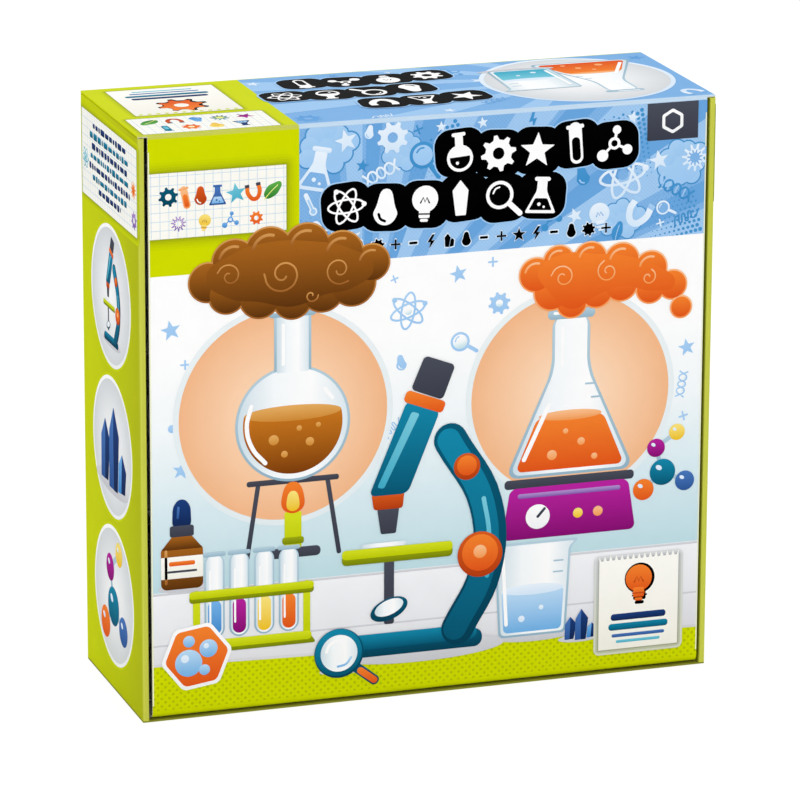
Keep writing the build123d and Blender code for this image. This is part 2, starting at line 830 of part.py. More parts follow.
pipette_x = middle_of(pipette_cell)
pipette_place = Location((pipette_x, item_y, cell_floor))
pipette_axis = Axis((pipette_x, item_y, 0), (0, 0, 1))
with BuildPart() as pipette_tube:
    section = wall_profile(
        ((pipette_tip, 0), (pipette_radius, pipette_taper), (pipette_radius, pipette_length)),
        (
            (pipette_tip - pipette_wall, 0),
            (pipette_radius - pipette_wall, pipette_taper),
            (pipette_radius - pipette_wall, pipette_length),
        ),
    )
    revolve(section.moved(pipette_place), axis=pipette_axis)
save(pipette_tube, "pipette_tube")

bulb_z = pipette_length - bulb_neck_height
bulb_bore = pipette_radius + bulb_fit
bulb_end = bulb_z + bulb_height
with BuildPart() as pipette_bulb:
    with BuildSketch(Plane.XZ) as section:
        with BuildLine():
            shoulder = (bulb_neck, bulb_z + bulb_neck_height)
            inner_shoulder = (bulb_bore, bulb_z + bulb_neck_height + bulb_wall)
            belly = (bulb_radius, bulb_end - bulb_belly)
            inner_belly = (bulb_radius - bulb_wall, bulb_end - bulb_belly)
            inner_end = (0, bulb_end - bulb_wall)
            out = Spline(shoulder, belly, (0, bulb_end), tangents=[bulb_flare, (-1, 0)])
            inside = Spline(inner_shoulder, inner_belly, inner_end, tangents=[bulb_inner_flare, (-1, 0)])
            Line(out @ 1, inside @ 1)
            Polyline(shoulder, (bulb_neck, bulb_z), (bulb_bore, bulb_z), inner_shoulder)
        make_face()
    revolve(section.sketch.moved(pipette_place), axis=pipette_axis, mode=Mode.REPLACE)
save(pipette_bulb, "pipette_bulb")
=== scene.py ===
import random
from math import cos, pi, radians, sin, tau

import bmesh
import bpy
from mathutils import Matrix, Vector


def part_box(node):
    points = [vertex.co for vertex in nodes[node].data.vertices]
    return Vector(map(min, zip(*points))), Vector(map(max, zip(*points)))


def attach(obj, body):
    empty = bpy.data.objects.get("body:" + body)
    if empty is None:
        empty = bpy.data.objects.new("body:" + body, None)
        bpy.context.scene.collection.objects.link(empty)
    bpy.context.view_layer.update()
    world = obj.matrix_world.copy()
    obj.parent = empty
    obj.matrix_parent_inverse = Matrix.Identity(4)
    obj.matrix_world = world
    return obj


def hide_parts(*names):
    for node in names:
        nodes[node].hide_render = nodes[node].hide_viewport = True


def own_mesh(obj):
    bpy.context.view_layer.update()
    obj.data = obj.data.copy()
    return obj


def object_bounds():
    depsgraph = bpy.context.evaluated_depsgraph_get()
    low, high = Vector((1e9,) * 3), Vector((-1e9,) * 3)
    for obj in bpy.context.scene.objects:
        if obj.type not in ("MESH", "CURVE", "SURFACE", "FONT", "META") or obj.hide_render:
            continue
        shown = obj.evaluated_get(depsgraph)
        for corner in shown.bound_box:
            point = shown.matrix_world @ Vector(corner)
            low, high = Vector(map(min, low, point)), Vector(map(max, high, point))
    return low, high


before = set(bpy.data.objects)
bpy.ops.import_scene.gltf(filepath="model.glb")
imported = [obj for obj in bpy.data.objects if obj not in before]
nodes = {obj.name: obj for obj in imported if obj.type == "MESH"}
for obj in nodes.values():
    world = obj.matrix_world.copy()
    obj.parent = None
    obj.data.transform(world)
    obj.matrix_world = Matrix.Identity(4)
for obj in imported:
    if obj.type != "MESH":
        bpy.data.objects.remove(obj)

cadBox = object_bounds()
caseMiddle = (cadBox[0] + cadBox[1]) / 2
mm = 0.001
bpy.context.scene.view_settings.view_transform = "Standard"
print("frame loaded:", len(nodes), "nodes")


# Small helpers

def linearColour(code):
    channels = [int(code[i : i + 2], 16) / 255 for i in (1, 3, 5)]
    return [c / 12.92 if c <= 0.04045 else ((c + 0.055) / 1.055) ** 2.4 for c in channels] + [1.0]


def setSockets(tree, node, sockets):
    # each takes a number, another node's socket or an sRGB hex colour
    for socket, value in sockets.items():
        if isinstance(value, bpy.types.NodeSocket):
            tree.links.new(value, node.inputs[socket])
        else:
            node.inputs[socket].default_value = linearColour(value) if isinstance(value, str) else value


def addNode(tree, kind, sockets, **settings):
    node = tree.nodes.new("ShaderNode" + kind)
    for name, value in settings.items():
        setattr(node, name, value)
    setSockets(tree, node, sockets)
    return node


def startMaterial(name, sockets):
    # "where" is the place on the piece in metres, which every pattern is measured by
    material = bpy.data.materials.new(name)
    material.use_nodes = True
    tree = material.node_tree
    shader = tree.nodes["Principled BSDF"]
    setSockets(tree, shader, sockets)
    where = addNode(tree, "TexCoord", {}).outputs["Object"]
    return material, tree, shader, where


def setStops(ramp, colours, places=None):
    stops = ramp.color_ramp.elements
    while len(stops) < len(colours):
        stops.new(0.5)
    for i, code in enumerate(colours):
        stops[i].position = places[i] if places else i / (len(colours) - 1)
        stops[i].color = linearColour(code)


def giveMaterial(material, *names):
    for name in names:
        mesh = nodes[name].data
        mesh.materials.clear()
        mesh.materials.append(material)


def addObject(name, data):
    thing = bpy.data.objects.new(name, data)
    bpy.context.scene.collection.objects.link(thing)
    return thing


# Camera, lamps and floor

view = {
    "turn": -18.5486,  # degrees round the case, from straight in front
    "height": 16.0106,  # degrees above level
    "roll": 0.2329,
    "distance": 2.2617,
    "aimRight": 0.0013,  # metres from the middle of the case
    "aimUp": -0.0050,
    "lens": 240.37,
    "sensor": 36,
    "farthest": 20,
}


def makeCamera():
    turn, height = radians(view["turn"]), radians(view["height"])
    back = Vector((sin(turn) * cos(height), -cos(turn) * cos(height), sin(height)))
    right = Vector((cos(turn), sin(turn), 0))
    up = back.cross(right)
    aim = Vector((0, 0, caseMiddle.z)) + right * view["aimRight"] + up * view["aimUp"]
    roll = radians(view["roll"])
    rolledRight = right * cos(roll) + up * sin(roll)
    rolledUp = up * cos(roll) - right * sin(roll)
    camera = addObject("camera", bpy.data.cameras.new("camera"))
    camera.data.lens = view["lens"]
    camera.data.sensor_width = view["sensor"]
    camera.data.clip_end = view["farthest"]
    axes = Matrix((rolledRight, rolledUp, back)).transposed().to_4x4()
    camera.matrix_world = Matrix.Translation(aim + back * view["distance"]) @ axes
    bpy.context.scene.camera = camera


lamps = {
    # place, size across, watts; each aims at the middle of the case
    "keyLamp": ((-0.5, -2.6, 1.3), 1.8, 29),
    "leftLamp": ((-2.6, -0.3, 1.0), 1.4, 19.5),
    "topLamp": ((0.2, 0.1, 2.6), 1.6, 12),
    "rightLamp": ((2.6, -0.4, 1.0), 1.4, 16),
    "rearLamp": ((0.4, 2.6, 1.6), 1.6, 27),
}
surround = {
    "daylight": 0.45,
    "white": 1.0,
    "floorPaint": 0.8,
    "floorGlow": 0.9,
    "floorShade": 0.16,
    "floorHalf": 6,  # metres
    "floorDrop": 0.0002,  # metres below the case, so that the two don't touch
}


def seenDirectly(tree):
    rays = addNode(tree, "LightPath", {}).outputs
    either = {0: rays["Is Camera Ray"], 1: rays["Is Transmission Ray"]}
    return addNode(tree, "Math", either, operation="MAXIMUM").outputs[0]


def showTwoWays(tree, output, lighting, seen):
    # one shader for the light that reaches the case, another for what the eye sees
    sockets = {"Fac": seenDirectly(tree), 1: lighting.outputs[0], 2: seen.outputs[0]}
    addNode(tree, output, {"Surface": addNode(tree, "MixShader", sockets).outputs[0]})


def makeLights():
    for name, (place, across, watts) in lamps.items():
        lamp = bpy.data.lights.new(name, "AREA")
        lamp.shape = "DISK"
        lamp.size = across
        lamp.energy = watts
        holder = addObject(name, lamp)
        holder.location = place
        holder.rotation_euler = (caseMiddle - Vector(place)).to_track_quat("-Z", "Y").to_euler()
    world = bpy.context.scene.world or bpy.data.worlds.new("surround")
    bpy.context.scene.world = world
    world.use_nodes = True
    tree = world.node_tree
    tree.nodes.clear()
    soft, plain = (
        addNode(tree, "Background", {"Color": (1, 1, 1, 1), "Strength": surround[part]})
        for part in ("daylight", "white")
    )
    showTwoWays(tree, "OutputWorld", soft, plain)


def makeFloor():
    part = bmesh.new()
    bmesh.ops.create_grid(part, x_segments=2, y_segments=2, size=surround["floorHalf"])
    mesh = bpy.data.meshes.new("floor")
    part.to_mesh(mesh)
    part.free()
    floor = addObject("floor", mesh)
    floor.location.z = -surround["floorDrop"]
    # matt studio floor paint: glows white to the eye and keeps the case's faint shadow
    material = bpy.data.materials.new("mattFloorPaint")
    material.use_nodes = True
    tree = material.node_tree
    tree.nodes.clear()
    paint, shade = (
        addNode(tree, "BsdfDiffuse", {"Color": (surround[tone],) * 3 + (1,)})
        for tone in ("floorPaint", "floorShade")
    )
    glow = addNode(tree, "Emission", {"Strength": surround["floorGlow"]})
    lit = addNode(tree, "AddShader", {0: shade.outputs[0], 1: glow.outputs[0]})
    showTwoWays(tree, "OutputMaterial", paint, lit)
    mesh.materials.append(material)


makeCamera()
makeLights()
makeFloor()
print("camera, lamps and floor made")


# Board, card and paper

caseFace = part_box("lid_panel")[0].y  # the lid's printed face
caseTop = cadBox[1].z
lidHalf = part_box("lid_panel")[1].x

board = {
    "liner": ("#E4E2DC", "#EFEEEA"),
    "core": ("#C9BFA8", "#ECEAE3"),  # cut edge: fluted core between two white liners
    "flute": 1.3,  # mm from one flute to the next
    "fluteDepth": 0.008,
    "fibre": 0.5,
    "fibreDepth": 0.004,
    "roughness": 0.62,
    "gloss": 0.002,
    "varnish": 0.4,  # roughness of the printed side
    "speckle": 900.0,  # repeats in a metre
    "mottle": (60.0, 3.0, 0.95, 1.03),  # repeats in a metre, detail, darkest, brightest
    "lime": "#CFDA02",
    "footShadeLime": "#88892C",  # painted shade: print carried round the lower edges, darkened to a shaded olive
    # painted highlight along the head fold, over the lime
    "limeFoldHighlight": "#C6CB52",
    # painted highlight on the rolled front edge, painted shade behind it, lighter again towards the rear
    "sideLimesLitAndShaded": ("#C7CC4E", "#BFC63A", "#B4BC14", "#BEC810", "#CAD50C"),
    "sideStops": (0.0, 0.012, 0.03, 0.3, 0.9),  # shares of the way from front to rear
    "sky": "#86B7E8",
    # painted highlight along the head fold, over the blue
    "skyFoldHighlight": "#C3DAEE",
    "white": "#FAFBFB",
    "header": 59.0,  # mm, depth of the coloured zone at the lid's head
    "headerSplit": 68.0,  # mm from the case's left side to where lime meets blue
    "skirt": 18.0,  # mm, lime zone at the lid's foot
    "fold": 1.5,  # mm, width of the painted highlight along the head fold
    "lip": 4.0,  # mm of print on the inside of the bottom's front edge
    "turnIn": 12.0,  # mm of print on the inside of the side walls
    "underside": 0.05,  # mm
    "edgeOn": 0.05,  # how far a face may lean before it counts as another side
}
splitX = cadBox[0].x + board["headerSplit"] * mm
headerZ = caseTop - board["header"] * mm


def fineRelief(tree, where, grain, depth):
    # the surface's own tooth; both numbers in mm
    tooth = addNode(tree, "TexNoise", {"Vector": where, "Scale": 1 / (grain * mm)})
    sockets = {"Height": tooth.outputs["Fac"], "Distance": depth * mm, "Strength": 1.0}
    return addNode(tree, "Bump", sockets).outputs["Normal"]


def mottled(tree, where, colour, scale, detail, least, most):
    # ink is never laid quite evenly
    cloud = addNode(tree, "TexNoise", {"Vector": where, "Scale": scale, "Detail": detail}).outputs["Fac"]
    share = addNode(tree, "MapRange", {"Value": cloud, "To Min": least, "To Max": most}).outputs["Result"]
    return addNode(tree, "VectorMath", {0: colour, "Scale": share}, operation="SCALE").outputs["Vector"]


def makeBoard(name, outward, zones, wrapped):
    # white-lined micro-flute board, litho printed and varnished outside: satin print, dry white liner
    material, tree, shader, where = startMaterial(
        f"litho-printed board, {name}", {"IOR": 1.5, "Specular IOR Level": board["gloss"]}
    )
    axis = addNode(tree, "SeparateXYZ", {"Vector": where}).outputs
    normal = where.node.outputs["Normal"]
    facing = addNode(tree, "VectorMath", {0: normal, 1: outward}, operation="DOT_PRODUCT").outputs["Value"]
    limit = board["edgeOn"] * (-1 if wrapped else 1)
    printed = addNode(tree, "Math", {0: facing, 1: limit}, operation="GREATER_THAN").outputs[0]
    inner = addNode(tree, "Math", {0: facing, 1: -board["edgeOn"]}, operation="LESS_THAN").outputs[0]
    speckle = addNode(tree, "TexNoise", {"Vector": where, "Scale": board["speckle"], "Detail": 4.0})
    ribs = addNode(
        tree, "TexWave", {"Vector": where, "Scale": tau / 20 / (board["flute"] * mm)}, bands_direction="Z"
    ).outputs["Fac"]
    liner, core = (
        addNode(tree, "Mix", {0: share, 6: dark, 7: pale}, data_type="RGBA").outputs[2]
        for share, (dark, pale) in ((speckle.outputs["Fac"], board["liner"]), (ribs, board["core"]))
    )
    bare = addNode(tree, "Mix", {0: inner, 6: core, 7: liner}, data_type="RGBA").outputs[2]
    colour, extra = zones(tree, where, axis)
    if extra:
        printed = addNode(tree, "Math", {0: printed, 1: extra}, operation="MAXIMUM").outputs[0]
    inked = mottled(tree, where, colour, *board["mottle"])
    gloss = {"Value": printed, "To Min": board["roughness"], "To Max": board["varnish"]}
    # the flutes show through as faint level ribs under the paper's own tooth
    bumps = {
        "Height": ribs,
        "Distance": board["fluteDepth"] * mm,
        "Strength": 1.0,
        "Normal": fineRelief(tree, where, board["fibre"], board["fibreDepth"]),
    }
    setSockets(tree, shader, {
        "Base Color": addNode(tree, "Mix", {0: printed, 6: bare, 7: inked}, data_type="RGBA").outputs[2],
        "Roughness": addNode(tree, "MapRange", gloss).outputs["Result"],
        "Normal": addNode(tree, "Bump", bumps).outputs["Normal"],
    })
    return material


def headZones(tree, where, axis):
    # lime and blue at the head, with a painted highlight along the fold
    right = addNode(tree, "Math", {0: axis["X"], 1: splitX}, operation="GREATER_THAN").outputs[0]
    plain, foldHighlight = (
        addNode(tree, "Mix", {0: right, 6: board[lime], 7: board[sky]}, data_type="RGBA").outputs[2]
        for lime, sky in (("lime", "sky"), ("limeFoldHighlight", "skyFoldHighlight"))
    )
    slant = addNode(tree, "VectorMath", {0: where, 1: (0, -1, 1)}, operation="DOT_PRODUCT").outputs["Value"]
    reach = {
        "Value": slant,
        "From Min": caseTop - caseFace - 2.0 * board["fold"] * mm,
        "From Max": caseTop - caseFace - 0.7 * board["fold"] * mm,
    }
    fold = addNode(tree, "MapRange", reach, interpolation_type="SMOOTHSTEP").outputs["Result"]
    return addNode(tree, "Mix", {0: fold, 6: plain, 7: foldHighlight}, data_type="RGBA").outputs[2], None


def lidZones(tree, where, axis):
    skirt = board["skirt"] * mm
    high = addNode(tree, "Math", {0: axis["Z"], 1: headerZ}, operation="GREATER_THAN").outputs[0]
    low = addNode(tree, "Math", {0: axis["Z"], 1: skirt}, operation="LESS_THAN").outputs[0]
    lower = addNode(tree, "Mix", {0: low, 6: board["white"], 7: board["lime"]}, data_type="RGBA").outputs[2]
    head, _ = headZones(tree, where, axis)
    return addNode(tree, "Mix", {0: high, 6: lower, 7: head}, data_type="RGBA").outputs[2], None


def sideZones(tree, where, axis):
    # painted shade: the lime darkens towards the rolled front edge, and the roll itself carries a pale
    # painted highlight
    reach = {"Value": axis["Y"], "From Min": caseFace, "From Max": cadBox[1].y}
    shades = addNode(tree, "ValToRGB", {"Fac": addNode(tree, "MapRange", reach).outputs["Result"]})
    setStops(shades, board["sideLimesLitAndShaded"], board["sideStops"])
    turnIn = {0: axis["Y"], 1: caseFace + board["turnIn"] * mm}
    return shades.outputs["Color"], addNode(tree, "Math", turnIn, operation="LESS_THAN").outputs[0]


def plainZones(tree, where, axis):
    lime = addNode(tree, "RGB", {}).outputs[0]
    lime.default_value = linearColour(board["lime"])
    return lime, None


def footZones(tree, where, axis):
    low = {0: axis["Z"], 1: board["underside"] * mm}
    under = addNode(tree, "Math", low, operation="LESS_THAN").outputs[0]
    # painted shade: all but the underside takes the darker olive lime
    limes = {0: under, 6: board["footShadeLime"], 7: board["lime"]}
    lip = {0: axis["Y"], 1: caseFace + board["lip"] * mm}
    return (
        addNode(tree, "Mix", limes, data_type="RGBA").outputs[2],
        addNode(tree, "Math", lip, operation="LESS_THAN").outputs[0],
    )


for node, name, outward, zones, wrapped in (
    # piece, its material's name, the way its print faces, its colours, print over the edges or not
    ("lid_panel", "lid", (0, -1, -0.6), lidZones, False),
    ("top_panel", "top", (0, 0, 1), headZones, True),
    ("rear_panel", "rear", (0, 1, 0), plainZones, True),
    ("bottom_panel", "bottom", (0, 0, -1), footZones, True),
    ("left_side_wall", "left", (-1, -0.6, 0), sideZones, True),
    ("right_side_wall", "right", (1, -0.6, 0), sideZones, True),
    ("tuck_flap", "flap", (0, 0, -1), plainZones, False),
):
    giveMaterial(makeBoard(name, outward, zones, wrapped), node)

card = {"face": ("#E9E9E6", "#F6F6F4"), "roughness": 0.55, "cloud": 45.0, "grain": 0.35, "depth": 0.006}


def makeCard():
    # clay-coated white carton board: even, faintly toothed, no gloss
    material, tree, shader, where = startMaterial(
        "clay-coated carton board", {"Roughness": card["roughness"]}
    )
    cloud = addNode(tree, "TexNoise", {"Vector": where, "Scale": card["cloud"], "Detail": 5.0})
    colours = {0: cloud.outputs["Fac"], 6: card["face"][0], 7: card["face"][1]}
    setSockets(tree, shader, {
        "Base Color": addNode(tree, "Mix", colours, data_type="RGBA").outputs[2],
        "Normal": fineRelief(tree, where, card["grain"], card["depth"]),
    })
    return material


cardEnds = ("_divider", "_shelf", "_tab")
giveMaterial(makeCard(), *[n for n in nodes if n.startswith("tray_") or n.endswith(cardEnds)])

booklet = {
    "page": 0.1,
    "paper": ("#F3F1EA", "#CFCBC0"),
    "cover": ("#3E96CE", "#7CBBE6"),
    "dots": 160.0,  # in a metre
    "dotSize": 0.25,
}


def makePages():
    # uncoated book paper: fine dark lines between the sheets
    material, tree, shader, where = startMaterial("uncoated book paper", {"Roughness": 0.8})
    lines = {"Vector": where, "Scale": tau / 20 / (booklet["page"] * mm), "Distortion": 0.4}
    sheets = addNode(tree, "TexWave", lines, bands_direction="Y").outputs["Fac"]
    pale, dark = booklet["paper"]
    paper = addNode(tree, "Mix", {0: sheets, 6: pale, 7: dark}, data_type="RGBA").outputs[2]
    setSockets(tree, shader, {"Base Color": paper})
    return material


def makeCover():
    # coated text paper, printed in two blues with a grid of pale dots
    material, tree, shader, where = startMaterial("gloss-coated cover paper", {"Roughness": 0.35})
    dots = addNode(tree, "TexVoronoi", {"Vector": where, "Scale": booklet["dots"], "Randomness": 0.0})
    size = {0: dots.outputs["Distance"], 1: booklet["dotSize"]}
    small = addNode(tree, "Math", size, operation="LESS_THAN").outputs[0]
    deep, pale = booklet["cover"]
    cover = addNode(tree, "Mix", {0: small, 6: deep, 7: pale}, data_type="RGBA").outputs[2]
    setSockets(tree, shader, {"Base Color": cover})
    return material


giveMaterial(makePages(), "booklet_pages")
giveMaterial(makeCover(), "booklet_cover")
print("board, card and paper finished")


# Plastics, rubber and steel

plastics = {
    # name: colours, roughness, mm between grains, nodes
    "moulded teal polystyrene": (
        ("#0A6E8E", "#0F7C9C"), 0.3, 0.7, ("housing_front", "housing_back", "funnel"),
    ),
    "moulded orange polystyrene": (("#E2541C", "#EC6428"), 0.28, 0.7, ("weighing_pan", "pan_stem")),
    "moulded lime polystyrene": (("#AFC40F", "#BFD21C"), 0.28, 0.7, ("tube_rack", "scale_pointer")),
    "moulded white acetal": (("#E6E6E2", "#F1F1EE"), 0.38, 0.5, ("pointer_pinion",)),
    "moulded navy rubber": (("#122B5C", "#17346B"), 0.5, 0.4, ("navy_stopper", "pipette_bulb")),
    "moulded orange rubber": (("#D9511F", "#E45F2B"), 0.5, 0.4, ("orange_stopper",)),
}
moulding = {
    "flow": 30.0,  # swells in a metre
    "least": 0.9,  # shares of the roughness
    "most": 1.15,
    "depth": 0.004,  # mm
}


def makePlastic(name, colours, roughness, grain):
    # injection-moulded: even colour, soft gloss, very slight sink and flow marks
    material, tree, shader, where = startMaterial(name, {"IOR": 1.55})
    flow = addNode(tree, "TexNoise", {"Vector": where, "Scale": moulding["flow"]}).outputs["Fac"]
    gloss = {
        "Value": flow,
        "To Min": roughness * moulding["least"],
        "To Max": roughness * moulding["most"],
    }
    dark, pale = colours
    setSockets(tree, shader, {
        "Base Color": addNode(tree, "Mix", {0: flow, 6: dark, 7: pale}, data_type="RGBA").outputs[2],
        "Roughness": addNode(tree, "MapRange", gloss).outputs["Result"],
        "Normal": fineRelief(tree, where, grain, moulding["depth"]),
    })
    return material


for name, (colours, roughness, grain, users) in plastics.items():
    giveMaterial(makePlastic(name, colours, roughness, grain), *users)

clear = {
    "colour": "#FCFEFE",
    "shadow": "#F7FBFB",
    "haze": 70.0,  # swells in a metre
    "roughness": (0.02, 0.09),
}


def makeClear():
    # clear crystal polystyrene: bright edges, faint handling haze
    material, tree, shader, where = startMaterial(
        "clear crystal polystyrene",
        {"IOR": 1.59, "Transmission Weight": 1.0, "Base Color": clear["colour"]},
    )
    haze = addNode(tree, "TexNoise", {"Vector": where, "Scale": clear["haze"], "Detail": 4.0})
    least, most = clear["roughness"]
    gloss = addNode(tree, "MapRange", {"Value": haze.outputs["Fac"], "To Min": least, "To Max": most})
    setSockets(tree, shader, {"Roughness": gloss.outputs["Result"]})
    # light from the lamps goes straight through the thin walls
    ray = addNode(tree, "LightPath", {}).outputs["Is Shadow Ray"]
    through = addNode(tree, "BsdfTransparent", {"Color": clear["shadow"]}).outputs["BSDF"]
    wall = addNode(tree, "MixShader", {0: ray, 1: shader.outputs["BSDF"], 2: through}).outputs["Shader"]
    setSockets(tree, tree.nodes["Material Output"], {"Surface": wall})
    return material


steel = {"colour": "#C9CBCC", "streak": 1500.0, "roughness": (0.22, 0.4)}


def makeSteel():
    # zinc-plated steel wire: bright, slightly streaked
    material, tree, shader, where = startMaterial(
        "zinc-plated steel", {"Metallic": 1.0, "Base Color": steel["colour"]}
    )
    streak = addNode(tree, "TexNoise", {"Vector": where, "Scale": steel["streak"]}).outputs["Fac"]
    least, most = steel["roughness"]
    gloss = addNode(tree, "MapRange", {"Value": streak, "To Min": least, "To Max": most})
    setSockets(tree, shader, {"Roughness": gloss.outputs["Result"]})
    return material


giveMaterial(
    makeClear(),
    "large_beaker", "middle_beaker", "small_beaker", "first_tube", "second_tube", "pipette_tube",
)
giveMaterial(makeSteel(), "housing_screws", "scale_spring", "booklet_staples")


def makeSpring():
    # the same coil as one smooth mesh
    wire = bmesh.new()
    wire.from_mesh(nodes["scale_spring"].data)
    bmesh.ops.remove_doubles(wire, verts=wire.verts, dist=0.001 * mm)
    mesh = bpy.data.meshes.new("panSpring")
    wire.to_mesh(mesh)
    wire.free()
    mesh.materials.append(nodes["scale_spring"].data.materials[0])
    coil = addObject("panSpring", mesh)
    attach(coil, "scale")
    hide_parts("scale_spring")
    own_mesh(coil)


makeSpring()
print("plastics, rubber and steel finished")


# Printing inks

coverLow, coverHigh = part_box("booklet_cover")
pinionLow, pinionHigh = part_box("pointer_pinion")
faces = {
    # right and up as a reader stands before each face, its middle line at z 0, and its body
    "front": ((1, 0, 0), (0, 0, 1), (0, caseFace, 0), "lid"),
    "rear": ((-1, 0, 0), (0, 0, 1), (0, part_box("rear_panel")[1].y, 0), "carton"),
    "left": ((0, -1, 0), (0, 0, 1), (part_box("left_side_wall")[0].x, 0, 0), "carton"),
    "right": ((0, 1, 0), (0, 0, 1), (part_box("right_side_wall")[1].x, 0, 0), "carton"),
    "top": ((1, 0, 0), (0, 1, 0), (0, 0, caseTop), "carton"),
    "booklet": (
        (1, 0, 0), (0, 0, 1),
        ((coverLow.x + coverHigh.x) / 2, coverLow.y, (coverLow.z + coverHigh.z) / 2), "carton",
    ),
    "dial": (
        (1, 0, 0), (0, 0, 1),
        ((pinionLow.x + pinionHigh.x) / 2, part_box("scale_dial")[0].y, (pinionLow.z + pinionHigh.z) / 2),
        "scale",
    ),
}

inkTable = {
    # shades from the foot of a shape to its head, except for the inks in shadeWays
    "white": ("#F2F4F5", "#FFFFFF"),
    "paper": ("#F3F1E6", "#FEFDF7"),
    "black": ("#000000", "#030304"),
    "slate": ("#3C3F4B", "#4A4D5A"),
    "navy": ("#13264F", "#1E3F7C"),
    "navyLight": ("#2D5596", "#4A78BC"),
    "teal": ("#0A5672", "#1688AA"),
    "tealDeep": ("#083F55", "#0B5A76"),
    "tealLight": ("#3FAAC6", "#79CBDD"),
    "orange": ("#E1551B", "#F5832F"),
    "orangeDeep": ("#B23C12", "#D95A20"),
    "orangeMid": ("#F58A43", "#F58A43"),
    "orangeLight": ("#F49A52", "#FBC391"),
    "peach": ("#FFE3CA", "#FBD0AB", "#F3B88A"),
    "peachMid": ("#FBC9A0", "#FBC9A0"),
    "dialPeach": ("#FBD3B5", "#FDE4D2"),
    "brown": ("#5C330F", "#A8641F"),
    "brownLight": ("#A0612A", "#D59A55"),
    "amber": ("#7C3D0D", "#C8761F"),
    "amberTop": ("#D08A35", "#E6AE62"),
    "lime": ("#BECB06", "#D6E024"),
    "limeDeep": ("#77830A", "#9DAA14"),
    "limeLight": ("#DDE75C", "#EDF2A0"),
    "limeFlat": ("#CFDA02", "#CFDA02"),
    "limeShade1": ("#CAD504", "#CAD504"),
    "limeShade2": ("#C3CE06", "#C3CE06"),
    "limeShade3": ("#BAC50A", "#BAC50A"),
    "limeShade4": ("#ADB80E", "#ADB80E"),
    "limeShade5": ("#99A316", "#99A316"),
    "edgeWear": ("#F3F5CF", "#F3F5CF"),
    "noteShade1": ("#D3D6C2", "#D9DBDC"),
    "noteShade2": ("#BCC0A6", "#C6C8CA"),
    "noteShade3": ("#A0A584", "#AEB1B3"),
    "green": ("#2E7D32", "#5FB04A"),
    "magenta": ("#84106F", "#B9259F"),
    "violet": ("#7E57A8", "#B394D1"),
    "yellow": ("#EFC01D", "#FBE57E"),
    "yellowPale": ("#FBE9A0", "#FEF7D6"),
    "water": ("#6FB0E6", "#BCDDF7"),
    "waterDeep": ("#3B87CF", "#77B4EA"),
    "glass": ("#CFE0E9", "#F6FAFC", "#FFFFFF", "#DCE9F0"),
    "glassEdge": ("#93B4C7", "#B7D1DF"),
    "shine": ("#FFFFFF", "#FFFFFF"),
    "field": ("#BDDCE4", "#D8EBF1", "#F4F9FB", "#FFFFFF", "#FFFFFF"),
    "fieldShade1": ("#E4EEF2", "#EDF3F5"),
    "bench": ("#D6D6DB", "#E9EAEE", "#F4F5F8"),
    "benchEdge": ("#C7C8CE", "#D9DADF"),
    "ray": ("#9CC7F0", "#A9D0F4"),
    "rayDeep": ("#68A4DD", "#6CA7DF"),
    "dotBlue": ("#3F8FCB", "#4796D1"),
    "chalk": ("#D5E8FA", "#EAF4FE"),
    "chalkBlue": ("#5C9CDA", "#6CA9E2"),
    "ringGrey": ("#FFFFFF", "#EDEFF1", "#D6DADD"),
}
shadeWays = {"glass": "across", "peach": "round", "ringGrey": "round"}
limeShades = ("limeShade1", "limeShade2", "limeShade3", "limeShade4", "limeShade5")
noteShades = ("noteShade1", "noteShade2", "noteShade3")

varnish = {
    "roughness": 0.4,
    "gloss": 0.002,
    "mottle": (90.0, 2.0, 0.97, 1.02),  # repeats in a metre, detail, darkest, brightest
}

# patterned inks: colours, mm between repeats, size of a mark as a share of the repeat
dottedInks = {
    "limeDots": ("#CFDA02", "#B4C00A", 3.3, 0.26),
    "skyDots": ("#84B6E7", "#78ADE2", 1.7, 0.34),
    "rayDots": ("#A3CBF1", "#9AC4EE", 1.7, 0.3),
}
griddedInks = {"graphPaper": ("#FBFAF2", "#BFD6EA", 3.75, 0.06)}

inkCache = {}


def shapeShade(tree, way):
    place = addNode(tree, "UVMap", {}, uv_map="shade").outputs[0]
    if way == "round":
        reach = addNode(tree, "VectorMath", {0: place, 1: (0.5, 0.5, 0)}, operation="DISTANCE")
        double = {0: reach.outputs["Value"], 1: 2.0}
        return addNode(tree, "Math", double, operation="MULTIPLY").outputs[0]
    return addNode(tree, "SeparateXYZ", {"Vector": place}).outputs["X" if way == "across" else "Y"]


def patternColour(tree, name, face, where):
    ground, mark, pitch, size = (dottedInks | griddedInks)[name]
    right, up, *_ = faces[face]
    if name in dottedInks:
        right, up = Vector(right) + Vector(up), Vector(right) - Vector(up)
    cell = []
    for way in (right, up):
        # counted in repeats of the pattern
        scaled = {0: where, 1: Vector(way) / (pitch * mm)}
        count = addNode(tree, "VectorMath", scaled, operation="DOT_PRODUCT").outputs["Value"]
        cell.append(addNode(tree, "Math", {0: count}, operation="FRACT").outputs[0])
    if name in dottedInks:
        spot = addNode(tree, "CombineXYZ", {"X": cell[0], "Y": cell[1]}).outputs[0]
        middle = {0: spot, 1: (0.5, 0.5, 0)}
        reach = addNode(tree, "VectorMath", middle, operation="DISTANCE").outputs["Value"]
    else:
        reach = addNode(tree, "Math", {0: cell[0], 1: cell[1]}, operation="MINIMUM").outputs[0]
    inside = addNode(tree, "Math", {0: reach, 1: size}, operation="LESS_THAN").outputs[0]
    return addNode(tree, "Mix", {0: inside, 6: ground, 7: mark}, data_type="RGBA").outputs[2]


